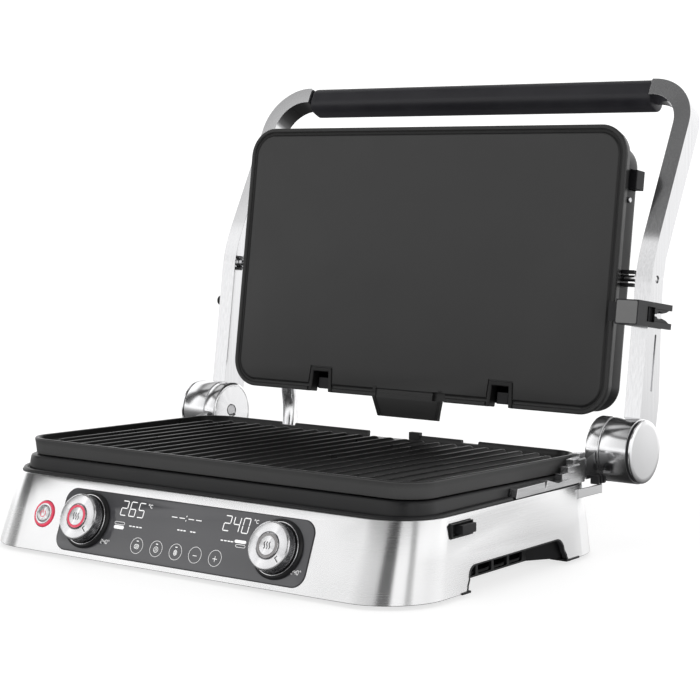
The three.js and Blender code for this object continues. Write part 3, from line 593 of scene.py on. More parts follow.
def base_deck():
    """The dark top of the base, which rises to a seat for the lower plate."""
    def seat(drop):
        fall = math.tan(math.radians(PLATE_SLOPE))
        return lambda y: PLATE_TOP - y * fall - PLATE_SKIRT - drop

    edge = [(1.9, -6), (1.9, 0.3), (2.1, 1.3), (2.8, 2.1), (3.8, 2.45), (4.7, 2.2), (5.3, 1.4), (5.6, 0.9)]
    rings = [shell_ring(1, inset, shell_top(rise)) for inset, rise in edge]
    foot, brow = platform(-1.7, shell_top(0.9)), platform(0.0, seat(1.9))
    rings.append(foot)
    for share, bulge in ((0.35, 0.6), (0.7, 0.8), (0.9, 0.5)):
        rings.append([mix(Vector(a), Vector(b), share) + Vector((0, 0, bulge)) for a, b in zip(foot, brow)])
    rings += [brow, platform(0.5, seat(0.9)), platform(1.4, seat(0.5)), platform(9, seat(0.5))]
    rings.append(platform(11, 47))
    cuts = [block(188.6, 198, 109, 215, SHELL_H - 0.9, 80),
            block(183, 198, BEZEL_Y0 - 2, BEZEL_Y1 + 2, 36, 50), block(-33, 33, 221, 232, 38, 80)]
    make("deck", [loft(rings)], BASE, deck_plastic, "base", ["base_deck"], bevel=0.2, angle=40, cuts=cuts)


def base_underside():
    floor = loft([shell_ring(0, 3.4, 1), shell_ring(0, 3.4, 3.4)])
    cuts = [block(*span, 30, 179, 0, 5) for span in ((-210, -176), (176, 210))]
    cuts += [prism(round_rect(x - 3, x + 3, 60, 110, 2.9, 5), 0, 5) for x in range(-120, 121, 30)]
    make("floor_cover", [floor], BASE, black_plastic, "base", ["base_floor"], bevel=0.3, cuts=cuts)
    pad = [(0, -2.4), (3.6, -2.4), (4.2, -3), (6.4, -3), (7.4, -2.4), (8, -1.2), (8, 0.7), (0, 0.7)]
    for end, y in (("front", -8), ("rear", 208)):
        for hand, x in (("left", -164), ("right", 164)):
            make(f"foot_{end}_{hand}_pad", [lathe(pad, 40, x, y)], BASE, foot_rubber, "base",
                 [f"foot_{end}_{hand}"], bevel=0)
    for x in (-150, 0, 150):
        for y in (20, 190):
            screw("floor_screw", BASE @ Matrix.Translation((x, y, 1)) @ UPSIDE_DOWN, "base")


screws = {"count": 0}


def screw(name, where, body, r=3.0):
    """A pan-head screw with a cross recess, its head standing along the frame's z."""
    screws["count"] += 1
    head = lathe([(0, -0.4), (r, -0.4), (r, 0.5), (0.8 * r, 1.1), (0.4 * r, 1.35), (0, 1.4)], 24)
    cross = [block(-0.6 * r, 0.6 * r, -0.3, 0.3, 0.5, 3), block(-0.3, 0.3, -0.6 * r, 0.6 * r, 0.5, 3)]
    make(f"{name}_{screws['count']}", [head], where, sheet_steel, body, bevel=0, cuts=cross)


def side_vents():
    """Black liner of each hand hold: a windowed inner wall that turns out at the back, and a roof."""
    x, inner = LINER_X, LINER_X + LINER_WALL
    wall = [(x, LINER_FRONT), (inner, LINER_FRONT), (inner, LINER_TURN), (197, LINER_END),
            (197, LINER_END + 3.5), (x, LINER_TURN + 2)]
    roof = [(x, LINER_FRONT), (198, LINER_FRONT), (198, LINER_END + 0.5), (x, LINER_TURN + 2)]
    starts = [LINER_FRONT + 6 + 20.4 * i for i in range(5)]
    windows = [across(round_rect(y, y + 17.4, 2.6, 14.4, 1.4, 4), x - 3, inner + 1.6) for y in starts]
    for side, name in SIDES:
        make("hold_liner_" + name, [prism(wall, 1.2, 19.4)], BASE, black_plastic, "base",
             ["side_vent_" + name], bevel=0.25, adds=[prism(roof, 18, 20.4)], cuts=windows, side=side)
        flanges = [block(189, reach, y0, y1, -0.3, 1.3)
                   for reach, y0, y1 in ((203.7, 31, 41.5), (203.4, 168.5, 187))]
        make("hold_flange_" + name, flanges, BASE, black_plastic, "base", bevel=0.3, side=side)


def drip_tray():
    half = TRAY_HALF - TRAY_WALL
    tub = block(-TRAY_HALF, TRAY_HALF, TRAY_FRONT, TRAY_REAR, TRAY_LOW, TRAY_HIGH)
    hollow = prism(round_rect(-half, half, TRAY_FRONT + TRAY_WALL, TRAY_REAR - 6, 6, 5),
                   TRAY_LOW + TRAY_WALL, 40)
    face = across([(237.4, 5.4), (240.6, 5.4), (236.2, 37), (233, 37)], -76, 76)
    finger = prism(round_rect(-22, 22, 236.6, 252, 7, 6), 2, 11.5)
    make("tray", [tub], BASE, black_plastic, "tray", ["drip_tray"], bevel=0.5, adds=[face],
         cuts=[hollow, finger])


def power_inlet():
    profile = [(4.2, -12), (8.4, -12), (8.4, -1.5), (11.6, -1.5), (11.6, 1.6), (11.0, 2.3), (10.2, 2.6),
               (6.2, 2.6), (4.9, 2.2), (4.2, 1.2)]
    tilt = BASE @ axes((1, 0, 0), Vector((0, INLET_LEAN, -1)).normalized(),
                       Vector((0, 1, INLET_LEAN)).normalized(), (INLET_X, INLET_Y, INLET_Z))
    make("inlet", [lathe(profile, 40, loop=True)], tilt, black_plastic, "base", ["power_inlet"], bevel=0)


def release_switches():
    y0, y1, z0, z1 = BEZEL_Y0, BEZEL_Y1, BEZEL_Z0, BEZEL_Z1
    cuts = [block(180, 210, y0 + 6.6, y1 - 1.6, z0 + 1.8, z1 - 0.8),
            block(197.2, 210, y0 + 1.4, y1 - 1.4, z0 + 1.4, z1 - 0.4)]
    make("bezel", [block(191, 199.4, y0, y1, z0, z1)], BASE, black_plastic, "base", ["release_bezel"],
         bevel=0.4, cuts=cuts)
    button = block(188, 203.4, y0 + 7, y1 - 2, z0 + 2.2, z1 - 1.2)
    make("lower_release", [button], BASE, slider_plastic, "plate_release_bottom",
         ["lower_release_button"], bevel=0.5, segments=3)


# ---------- panel ----------
SEGMENTS = {"0": "abcdef", "2": "abged", "4": "fgbc", "5": "afgcd", "6": "afgedc", "-": "g"}


def digit(mark, x, s, high, thick):
    """Seven-segment character, its lower left corner at (x, s), as parts on the panel's face."""
    wide, lean = high * 0.52, 0.06
    half = high / 2
    lines = {"a": (0, high, wide, high), "g": (0, half, wide, half), "d": (0, 0, wide, 0),
             "f": (0, half, 0, high), "b": (wide, half, wide, high), "e": (0, 0, 0, half),
             "c": (wide, 0, wide, half)}
    parts = []
    for name in SEGMENTS[mark]:
        x0, y0, x1, y1 = lines[name]
        parts.append(stroke([(x0 + lean * y0, y0), (x1 + lean * y1, y1)], thick, (x, s), trim=thick * 0.62))
    return parts


def stroke(points, thick, at=(0, 0), trim=0.0, level=PANEL_FACE, height=PRINT_HIGH):
    """A straight printed line with pointed ends."""
    a, b = (Vector(p) + Vector(at) for p in points)
    along = (b - a).normalized()
    a, b = a + along * trim, b - along * trim
    side = Vector((-along.y, along.x)) * thick / 2
    tip = along * thick / 2
    outline = [a - tip, a + side, b + side, b + tip, b - side, a - side]
    return prism([(p.x, p.y) for p in outline], level - PRINT_DEEP, level + height)


def strokes(line, thick, **how):
    """A printed line along several points."""
    return [stroke(pair, thick, **how) for pair in zip(line, line[1:])]


PRINT = (PANEL_FACE - PRINT_DEEP, PANEL_FACE + PRINT_HIGH)
PILL_LINE = 0.3


def ring_mark(x, s, r, thick, steps=40):
    """A printed ring round (x, s)."""
    return lathe(band(r - thick, r, *PRINT), steps, x, s, True)


def pill(x0, x1, s0, s1, filled):
    """A printed lozenge, filled or drawn as a line."""
    outline, inner = (round_rect(x0 + inset, x1 - inset, s0 + inset, s1 - inset,
                                 ((s1 - s0) / 2 - inset) * 0.98, 6) for inset in (0, PILL_LINE))
    if filled:
        return [prism(outline, *PRINT)]
    low, high = PRINT
    return [loft([levelled(outline, low), levelled(outline, high), levelled(inner, high),
                  levelled(inner, low)], True)]


def number(text, x, s, high, thick, pitch):
    return [part for i, mark in enumerate(text) for part in digit(mark, x + i * pitch, s, high, thick)]


def degrees(x, s, size):
    """A small degree ring and the unit's open curve."""
    parts = [ring_mark(x, s + size, size * 0.26, size * 0.12, steps=16)]
    bow = arc(x + size * 0.95, s + size * 0.62, size * 0.46, 50, 310, 8)
    return parts + strokes(bow, size * 0.16)


def dash(x, s, length, thick):
    """A printed line across, from (x, s)."""
    return stroke([(x, s), (x + length, s)], thick)


def bar(x, s0, s1, thick):
    """A printed line upwards."""
    return stroke([(x, s0), (x, s1)], thick)


def icon(kind, x, s):
    """The small drawing inside a touch key."""
    if kind == "minus":
        return [dash(x - 1.7, s, 3.4, 0.45)]
    if kind == "plus":
        return [dash(x - 1.9, s, 3.8, 0.45), bar(x, s - 1.9, s + 1.9, 0.45)]
    parts = [dash(x - 0.8, s + 3.9, 1.6, 0.7)]
    if kind == "open":
        parts += pill(x - 2.3, x + 2.3, s - 1.9, s + 1.7, False)
        parts += [dash(x - 1.6, s + k, 3.2, 0.35) for k in (-0.9, 0, 0.9)]
    if kind == "round":
        parts += [ring_mark(x, s - 0.1, 2.2, 0.35, steps=24)]
        parts += [bar(x + k, s - 1.2, s + 1.0, 0.35) for k in (-0.6, 0.6)]
    if kind == "flat":
        parts += pill(x - 1.7, x + 1.7, s - 2.2, s + 2.0, False)
        parts += [bar(x + k, s - 1.4, s + 1.2, 0.35) for k in (-0.7, 0, 0.7)]
    return parts


def control_panel():
    """The dark glass with its gasket and lit marks."""
    def ring(inset, level):
        return levelled(round_rect(-PANEL_HALF + inset, PANEL_HALF - inset, PANEL_LOW + inset,
                                   PANEL_HIGH - inset, PANEL_R - inset), level)

    face = PANEL_FACE
    glass = loft([ring(0.0, -1.6), ring(0.0, face - 0.35), ring(0.1, face - 0.1), ring(0.35, face)])
    holes = [lathe(rod_profile(3.6, -30, 30), 24, s * KNOB_X, KNOB_S) for s in (-1, 1)]
    make("panel", [glass], WALL, panel_glass, "base", ["control_panel"], bevel=0, cuts=holes)
    gasket = [ring(0.0, -1.2), ring(0.0, 0.5), ring(-0.37, 0.5), ring(-0.37, -1.2)]
    make("panel_gasket", [loft(gasket, True)], WALL, black_plastic, "base", bevel=0)
    marks = number("265", -60.4, 36.0, 10.6, 0.72, 8.3) + degrees(-34.4, 43.6, 2.6)
    marks += number("240", 38.0, 36.0, 10.6, 0.72, 8.5) + degrees(65.0, 43.6, 2.6)
    marks += [dash(x, 40.1, 4.9, 0.62) for x in (-10.6, -3.4, 5.2, 12.4)]
    marks += [stroke([(2.9, 38.3 + k), (3.1, 39.0 + k)], 0.6) for k in (0, 3.2)]
    marks += pill(-63.4, -53.6, 28.8, 31.0, False) + pill(-63.4, -53.6, 25.6, 28.2, True)
    marks += pill(51.2, 61.6, 28.6, 30.8, True) + pill(52.8, 61.6, 25.6, 27.8, False)
    marks += [dash(x, 28.9, 1.9, 0.8) for x in (-48.6, -45.2, -41.8, -38.6, 38.8, 42.0, 45.2, 48.0)]
    marks += [dash(x, 31.4, 1.7, 0.85) for x in (-2.6, 0.3, 3.2, 9.6, 12.4)]
    for x, kind in ((-37, "open"), (-18.2, "round"), (0.4, "flat"), (18.8, "minus"), (37.4, "plus")):
        marks.append(ring_mark(x, 15.6, 5.9, 0.26))
        marks += icon(kind, x, 15.1)
    for x in (-72.6, 105.6):
        marks += number("240", x, 13.4, 2.8, 0.32, 2.4) + [ring_mark(x + 7.8, 16.0, 0.55, 0.22, steps=12)]
    make("panel_marks", marks, WALL, panel_print, "base", bevel=0)


def face_frame(x, s):
    """A frame in metres on the front wall: its z is the axis that a dial or button moves on."""
    return WALL @ Matrix.Translation((x, s, 0)) @ Matrix.Scale(1 / MM, 4)


def on_axis(name, parts, where, finish, body, replaces=()):
    """A turned piece whose object has its own turned axes, so that brushing can run round them."""
    piece = link(name, mesh_of(name, parts, Matrix.Scale(MM, 4)))
    piece.matrix_world = where
    dress(piece, finish, body, replaces, bevel=0, angle=28)


def dial_collar(name, where):
    """The fixed ring that a dial stands on, with its bright trim."""
    collar = [(4.2, 1.1), (21.4, 1.1), (21.4, 2.0), (21.0, 2.8), (20.2, 3.4), (18.6, 3.5), (4.2, 3.4)]
    on_axis("dial_collar_" + name, [lathe(collar, 72, loop=True)], where, black_plastic, "base",
            ["knob_collar_" + name])
    trim = [(18.5, 3.3), (19.0, 3.3), (19.0, 3.7), (18.85, 3.85), (18.5, 3.85)]
    on_axis("dial_trim_" + name, [lathe(trim, 72, loop=True)], where, dial_metal, "base")


def dial_knob(name, where):
    """The turning dial: a spun cup with a knurled waist and an angled pointer."""
    d, r, body = KNOB_DEEP, KNOB_R, "dial_" + name
    cup = [(0, d - 4), (9.6, d - 4), (9.6, d - 0.1), (9.9, d + 0.15), (10.2, d + 0.2), (r - 1.5, d + 0.05),
           (r - 1.0, d - 0.1), (r - 0.3, d - 0.6), (r, d - 1.3), (r, 10.4), (r - 0.4, 10.2), (r - 0.4, 5.0),
           (r, 4.8), (r, 4.2), (3, 4.2), (3, -15), (0, -15)]
    on_axis("dial_" + name, [lathe(cup, 96)], where, dial_metal, body, ["knob_" + name])
    tooth = block(r - 0.9, r + 0.05, -0.32, 0.32, 5.2, 10.0)
    teeth = [placed(tooth, Matrix.Rotation(2 * math.pi * k / KNURL_TEETH, 4, "Z"))
             for k in range(KNURL_TEETH)]
    on_axis("dial_knurl_" + name, teeth, where, waist_painted_shade, body)
    bands = [lathe(band(r - 0.3, r + 0.04, z0, z1), 96, loop=True) for z0, z1 in ((4.3, 5.1), (10.1, 11.4))]
    on_axis("dial_skirt_" + name, bands, where, waist_painted_shade, body)
    low = Matrix.Rotation(POINTER_TURN, 4, "Z")
    pointer = [placed(block(x0, x1, -0.35, y1, d - 0.1, d + 0.26), low)
               for x0, x1, y1 in ((11.4, 15.4, 0.35), (11.2, 11.9, 2.2))]
    on_axis("dial_pointer_" + name, pointer, where, dial_print, body)


def sear_button(name, where, ring_look):
    """The push button in the dial's middle: a lit ring round a cap with three flames."""
    d, body = KNOB_DEEP, "sear_" + name
    ring = [(6.9, d + 0.5), (6.9, d + 0.85), (7.1, d + 0.95), (8.3, d + 0.95), (8.6, d + 0.85),
            (8.6, d + 0.3)]
    on_axis("sear_ring_" + name, [lathe(ring, 64, loop=True)], where, ring_look, body)
    cap = [(0, d - 2.2), (9.1, d - 2.2), (9.1, d + 0.2), (8.7, d + 0.5), (6.8, d + 0.6), (6.7, d + 0.8),
           (6.3, d + 0.9), (0, d + 0.85)]
    on_axis("sear_cap_" + name, [lathe(cap, 64)], where, dial_metal, body, ["sear_button_" + name])
    flames = []
    for x in (-2.2, 0.0, 2.2):
        wave = [(x + 0.55 * math.sin(2.1 * t), -2.4 + 4.8 * t / 3) for t in (0, 0.75, 1.5, 2.25, 3)]
        flames += strokes(wave, 0.62, level=d + 0.88, height=0.12)
    on_axis("sear_mark_" + name, flames, where, dial_print, body)


def dials():
    for side, name in reversed(SIDES):
        where = face_frame(side * KNOB_X, KNOB_S)
        dial_collar(name, where)
        dial_knob(name, where)
        sear_button(name, where, red_lens if side < 0 else grey_lens)


def start_switch():
    """The push button on the front wall: a lit ring, a bright ring and a cap with its mark."""
    where = face_frame(START_X, START_S)
    ring = [(8.1, -1), (10, -1), (10, 0.2), (9.8, 0.7), (9.2, 1.1), (8.6, 1.25), (8.1, 1.15)]
    on_axis("start_ring_lens", [lathe(ring, 64, loop=True)], where, red_lens, "base")
    inner = [(6.3, -2), (10, -2), (10, -1), (8.1, -1), (8.1, 1.0), (7.8, 1.2), (6.7, 1.2), (6.3, 0.9)]
    on_axis("start_ring_metal", [lathe(inner, 64, loop=True)], where, dial_metal, "base", ["start_ring"])
    cap = [(0, -1.6), (6, -1.6), (6, 1.1), (5.8, 1.5), (5.2, 1.8), (0, 1.75)]
    on_axis("start_cap", [lathe(cap, 64)], where, dial_metal, "start", ["start_button"])
    marks = [part for line in (arc(0, -0.2, 2.5, 125, 415, 14), [(0, 0.4), (0, 2.9)])
             for part in strokes(line, 0.55, level=1.78, height=0.12)]
    on_axis("start_mark", marks, where, red_lens, "start")


# ---------- lower plate ----------
def plate_ring(inset, level):
    """A ring round the lower plate, moved in by inset, at a level over its cooking face."""
    return rim(PLATE_HALF, 0, PLATE_DEPTH, PLATE_R, level, inset)


def rib(x, near, far):
    """A grill rib: a rounded ridge whose ends run down into the floor."""
    foot = -5.2
    side = [(3.1, foot), (2.6, -4.4), (2.0, -3.0), (1.6, -2.2), (1.0, -1.9)]
    section = [(-dx, z) for dx, z in side] + [(0, -1.8)] + side[::-1]
    ends = ((0, 0.05), (1.5, 0.5), (3.4, 0.9), (6, 1.0))
    stations = [(near + y, share) for y, share in ends] + [(far - y, share) for y, share in reversed(ends)]
    return loft([[(x + dx, y, foot + (z - foot) * share) for dx, z in section] for y, share in stations])


def outer_wall(centre, normal):
    """Whether a face of the ribbed plate is on the outside of its wall."""
    x, y = abs(centre.x), abs(centre.y - PLATE_DEPTH / 2)
    dx, dy = x - (PLATE_HALF - PLATE_R), y - (PLATE_DEPTH / 2 - PLATE_R)
    inset = PLATE_R - math.hypot(dx, dy) if min(dx, dy) > 0 else min(PLATE_HALF - x, PLATE_DEPTH / 2 - y)
    return abs(normal.z) < 0.5 and centre.z < -0.3 and inset < 1.9


def lower_plate():
    """The ribbed plate: a rimmed pan with ribs, a drain and its tab."""
    rows = [(7, -PLATE_SKIRT), (2.2, -PLATE_SKIRT), (1.5, -PLATE_SKIRT + 0.5), (0.6, -4.5), (0, -1.4),
            (0.25, -0.5), (0.8, 0), (2.4, 0), (3.0, -0.35), (4.2, -3.0), (4.8, -4.1), (6.0, -4.7)]
    pan = loft([plate_ring(*row) for row in rows])
    ribs = []
    for i in range(RIB_COUNT):
        x = (i - (RIB_COUNT - 1) / 2) * RIB_PITCH
        near = 10 + (9 if abs(x) > 160 else 0)
        ribs.append(rib(x, near, PLATE_DEPTH - near))
    depth = PLATE_DEPTH
    cuts = [loft([plate_ring(6, -PLATE_SKIRT - 1), plate_ring(6, -8.4)])]
    cuts.append(block(*DRAIN, depth - 9, depth + 1, -4.7, 2))
    cuts += [block(x0, x1, depth - 6, depth + 1, -2.2, 2) for x0, x1 in ((-107, -91), (76, 92))]
    extras = [block(DRAIN[0] + 0.5, DRAIN[1] - 0.5, depth - 3, depth + 3, -8, -4.8),
              block(DRAIN[1], DRAIN[1] + DRAIN_TAB, depth - 4.6, depth - 0.4, -3, DRAIN_RISE)]
    piece = built("ribbed_plate", [pan], PLATE, ribs, cuts)
    shape(piece, extras, PLATE, JOIN)
    # The ribs and pan get a darker tone and the outer wall's faces, chosen by their normal, a lighter one:
    # painted shade and painted light on one coating.
    dress(piece, ribbed_painted_shade, "bottom_plate", ["lower_plate"], bevel=0.35, angle=38)
    second_finish(piece, PLATE, wall_painted_light, outer_wall)


# ---------- hinge pods and height stairs ----------
def hinge_pods():
    """The round hinges: a fixed ring, a barrel and a cap that turn with the arms, and black bands in the
    gaps between them as painted shade.
    """
    r = HINGE_R
    ring = [(5.4, 184.8), (21.4, 184.8), (21.6, 185.1), (22.2, 185.1), (22.4, 184.8), (23.7, 184.9),
            (24.5, 185.3), (r, 186.0), (r, 195.2), (24.6, 195.8), (24.1, 196.2), (5.4, 196.2)]
    barrel = [(5.4, 217.6), (5.4, 219.4), (24.2, 219.4), (24.6, 219.2), (r, 218.8), (r, 197.9),
              (24.6, 197.3), (24.1, 197), (20.6, 197), (20.6, 217.6)]
    cap = [(0, 221), (22.6, 221), (23.7, 221.2), (24.1, 221.6), (24.1, 222.1), (23.7, 222.7),
           (22.8, 223.0), (20, 223.05), (0, 223.1)]
    bracket = [(209.5, 54.4), (236, 54.4), (240, 66), (232, 82), (224, 74), (209.5, 70)]
    for side, name in SIDES:
        base = handed(BASE, side)
        where = base @ HINGE
        piece = built("hinge_ring_" + name, [lathe(ring, 96, loop=True)], where)
        worked(piece, base, (JOIN, across(bracket, 188.9, 195.4)),
               (JOIN, block(150, 195.4, 226.6, 236, 54.6, 62)))
        dress(piece, turned_steel, "base", ["hinge_bracket_" + name], bevel=0.15, angle=40)
        make("barrel_" + name, [lathe(barrel, 96, loop=True)], where, turned_steel, "lid_arms",
             ["hinge_barrel_" + name], bevel=0)
        make("cap_" + name, [lathe(cap, 96)], where, turned_steel, "lid_arms", ["hinge_cap_" + name],
             bevel=0)
        # Black bands fill the gaps between ring and barrel and between barrel and cap: painted shade.
        for part, body, profile in (("neck_", "lid_arms", band(9, 23.6, 219.5, 221.1)),
                                    ("seam_", "base", band(18, 23.4, 196.1, 196.9))):
            make(part + name, [lathe(profile, 64, loop=True)], where, black_plastic, body, bevel=0)
    marks = strokes(arc(-1.5, 1.0, 4.6, 60, 300, 16), 0.8, level=184.65, height=0.2)
    dot = lathe(rod_profile(1.1, 184.62, 184.9), 20, 3.4, -3.6)
    make("hinge_mark_left", marks + [dot], handed(BASE, -1) @ HINGE, dial_print, "base", bevel=0)


def stairs():
    """The stepped bracket that props the lid up, with a cap on each step in a lighter steel: a painted
    highlight on the step tops.
    """
    steps = ((174.3, 182.2, 62.8), (182.7, 190.2, 67.2), (190.7, 198.2, 71.6), (198.7, 206.8, 75.2))
    outline = [(111, 53.1), (207, 53.1), (207, 75.2), (198.4, 75.2), (198.4, 71.6), (190.4, 71.6),
               (190.4, 67.2), (182.4, 67.2), (182.4, 62.8), (174, 62.8), (174, 57.2), (168, 57.2),
               (154, 61), (151, 55), (150, 60.2), (113, 60.2)]
    make("stairs", [across(outline, 189, 195.6)], BASE, sheet_steel, "base", ["stair_ladder"], bevel=0.4)
    section = [(189.2, -0.6), (191.2, 0.02), (196.6, -4.6), (196.0, -5.2), (189.2, -1.6)]
    caps = [loft([[(x, y, top + z) for x, z in section] for y in (y0, y1)]) for y0, y1, top in steps]
    make("stair_caps", caps, BASE, step_top_painted_light, "base", bevel=0.2)


def hinge_fittings():
    """Below and in front of each hinge, a bright tab and a ribbed boot."""
    tab = across([(193, 42.4), (229, 42), (229, 48.6), (193, 49.4)], 196.2, 198.1)
    ribs = [block(195.8, 202.6 - 0.6 * (k % 2), 214.6 + 2.2 * k, 216.6 + 2.2 * k, 50.4,
                  57 - 0.9 * max(0, k - 3)) for k in range(6)]
    for side, name in SIDES:
        make("bracket_tab_" + name, [tab], BASE, turned_steel, "base", bevel=0.4, side=side)
        make("boot_" + name, ribs, BASE, black_plastic, "base", bevel=0.4, side=side)


# ---------- lid arms and handle ----------
def arm_point(along, out):
    """A point of the upper arm as (v, n) of the lid."""
    c, s = math.cos(ARM_BEND), math.sin(ARM_BEND)
    return ARM_V + along * c + out * s, ARM_N - along * s + out * c


def bar_ring(front, back):
    """A section of the arm's flat bar between (v, n) points on its front and back."""
    return [(ARM_X0, *front), (ARM_X1, *front), (ARM_X1, *back), (ARM_X0, *back)]


def lower_bar():
    """Sections from the hinge up to the bend."""
    stations = [(16, -4.6, -31.0), (38, -4.7, -32.6), (60, -4.8, -30.4), (90, -4.9, -27.0),
                (120, -5.0, -24.4)]
    return [bar_ring((v, front), (v, rear)) for v, front, rear in stations]


def bend():
    """Sections round the bend: a curved front, and a back of two straight lines."""
    knee = Vector((KNEE_V, KNEE_N))
    low = knee - Vector((KNEE_LOW, 0))
    high = knee + KNEE_HIGH * Vector((math.cos(ARM_BEND), -math.sin(ARM_BEND)))
    back_low = Vector((130, -23.9))
    back_knee, back_high = (Vector(arm_point(along, -ARM_DEEP)) for along in (-64, -49.2))
    rings = []
    for i in range(13):
        t = i / 12
        front = low * (1 - t) ** 2 + knee * 2 * t * (1 - t) + high * t ** 2
        back = back_low.lerp(back_knee, 2 * t) if t < 0.5 else back_knee.lerp(back_high, 2 * t - 1)
        rings.append(bar_ring(front, back))
    return rings


def arm_corner():
    """Sections of the upper bar and of the corner that turns in to the handle's end."""
    start, cx, inner = CORNER_TOP - CORNER_R, ARM_X1 - CORNER_R, CORNER_R - (ARM_X1 - ARM_X0)
    rings = [bar_ring(arm_point(along, 0), arm_point(along, -ARM_DEEP)) for along in (-30, 0, start)]
    turns = [math.radians(90 * i / 18) for i in range(1, 19)]
    lines = [[(cx + r * math.cos(a), start + r * math.sin(a)) for a in turns] for r in (inner, CORNER_R)]
    for line, r in zip(lines, (inner, CORNER_R)):
        line.append((GRIP_HALF + 0.4, start + r))
    for (xi, si), (xo, so) in zip(*lines):
        rings.append([(xi, *arm_point(si, 0)), (xo, *arm_point(so, 0)), (xo, *arm_point(so, -ARM_DEEP)),
                      (xi, *arm_point(si, -ARM_DEEP))])
    return rings


def turned(profile, v, n, steps=32, loop=False):
    """A part turned about an axis along x, in the lid's axes."""
    return placed(lathe(profile, steps, loop=loop), Matrix.Translation((0, v, n)) @ ALONG_X)


def rod(x0, x1, v, n, r, steps=32):
    """A plain rod along x, in the lid's axes."""
    return turned(rod_profile(r, x0, x1), v, n, steps)


def arms():
    """The two flat bars with the pins that the housing hangs on, and the stop stud on the left one."""
    pin = [(0, 178.4), (2.5, 178.4), (2.5, 213.2), (2.1, 213.4), (0, 213.4)]
    washer = [(2.5, 196.6), (4.4, 196.6), (4.4, 199.3), (4.1, 199.6), (2.5, 199.6)]
    stud = [(0, 214.3), (4.4, 214.3), (4.4, 218.6), (4.1, 219.5), (3.4, 220), (0, 220)]
    for side, name in SIDES:
        cuts = [rod(190, 220, 0, 0, HINGE_R + 0.35, 96), rod(190, 220, PIVOT_V, PIVOT_N, 2.9)]
        if side > 0:
            cuts.append(across(round_rect(46, 89.5, -20, -17.4, 1.25, 6), 212.4, 216))
        where = handed(LID, side)
        piece = built("arm_bar_" + name, [loft(lower_bar() + bend() + arm_corner())], where)
        worked(piece, where, *[(CUT, cut) for cut in cuts])
        dress(piece, arm_steel, "lid_arms", ["arm_" + name], bevel=0.7, segments=3, angle=40)
        pins = [turned(pin, PIVOT_V, PIVOT_N), turned(washer, PIVOT_V, PIVOT_N, loop=True)]
        make("pin_" + name, pins, LID, sheet_steel, "lid_arms", ["pivot_pin_" + name], bevel=0, side=side)
    make("stop_stud", [turned(stud, 97, -12)], LID, black_plastic, "lid_arms", ["stop_pin_left"], bevel=0,
         side=-1)


def handle():
    """The round-cornered grip, hollow along its length."""
    def section(x, inset):
        return [(x, s, t) for s, t in round_rect(GRIP_LOW + inset, GRIP_HIGH - inset, GRIP_BACK + inset,
                                                 GRIP_FRONT - inset, GRIP_R - inset)]

    def bore(x):
        return [(x, s, t) for s, t in round_rect(71.8, 83.4, -17.2, -6.2, 0.3)]

    ends = [(0, 1.1), (0.3, 0.45), (1, 0.1), (2, 0)]
    rows = [section(x - GRIP_HALF, inset) for x, inset in ends]
    rows += [section(GRIP_HALF - x, inset) for x, inset in reversed(ends)]
    rows += [bore(GRIP_HALF), bore(-GRIP_HALF)]
    make("grip", [loft(rows, True)], ARM_UP, grip_plastic, "lid_arms", ["handle_grip"], bevel=0)


def slider():
    """The height stop that slides on the right arm, with a lighter grey face and toothed jaws."""
    v0, v1 = SLIDER_V0, SLIDER_V1
    adds = [block(197.8, 199.6, v0, v1, -24, -3.9), block(214.4, 217, v0, v1, -37, -3.9),
            block(189.6, 198.4, 97, 111.4, -3, 13.6)]
    cuts = [block(213, 220, 99.2, 109, -40, -9), block(215.6, 220, 98.4, 109.8, -9, 3)]
    piece = built("height_stop", [block(197.8, 217, v0, v1, -4, 18)], LID)
    worked(piece, LID, *[(JOIN, part) for part in adds], *[(CUT, part) for part in cuts])
    dress(piece, slider_plastic, "slider", ["height_slider"], bevel=0.6, segments=3)
    plate = prism(round_rect(198.7, 216.1, v0 + 0.9, v1 - 0.9, 1.2, 5), 17.9, 18.15)
    make("height_stop_face", [plate], LID, slider_front, "slider", bevel=0)
    jaw = [(99.2, -9), (103.2, -9), (103.2, -13), (100.9, -16), (102.2, -22), (101.2, -28), (99.2, -33)]
    jaws = [across(line, 214.5, 216.7) for line in (jaw, [(v0 + v1 - v, n) for v, n in jaw])]
    make("height_stop_jaws", jaws, LID, slider_plastic, "slider", bevel=0.3)


# ---------- lid housing and upper plate ----------
def upper_housing():
    """The lid's black tub, vented at the back, with prongs that reach the arms' pins."""
    def ring(inset, n):
        return rim(HOUSING_HALF, HOUSING_NEAR, HOUSING_FAR, HOUSING_R, n, inset)

    tub = loft([ring(0.3, -10), ring(0, -10.4), ring(0, -22), ring(0.5, -24.6), ring(1.6, -26.4),
                ring(3.4, -27.7), ring(6, HOUSING_BACK)])
    cuts = [loft([ring(2.6, -8), ring(2.6, -24), ring(4.6, -25.8)]),
            block(178, 190, 199.8, 216.2, -26, -12.4), block(-149, -129, 20, 37, -27.6, -10.8)]
    cuts += [rod(s * 183 - 7, s * 183 + 7, PIVOT_V, PIVOT_N, 2.8) for s in (-1, 1)]
    cuts += [prism(round_rect(x - 2, x + 2, 70, 190, 1.9, 5), -29, -25) for x in range(-60, 61, 20)]
    piece = worked(built("housing", [tub], LID), LID, *[(CUT, part) for part in cuts])
    prongs = [block(*sorted((s * 183, s * 195.4)), v, v + 2.4, -21, -10.2)
              for s in (-1, 1) for v in (PIVOT_V - 6.2, PIVOT_V + 3.8)]
    shape(piece, prongs, LID, JOIN)
    dress(piece, black_plastic, "lid_housing", ["upper_shell"], bevel=0.3)
    for x in (-150, 150):
        for v in (50, 214):
            screw("housing_screw", LID @ Matrix.Translation((x, v, HOUSING_BACK - 0.1)) @ UPSIDE_DOWN,
                  "lid_housing", 3.2)


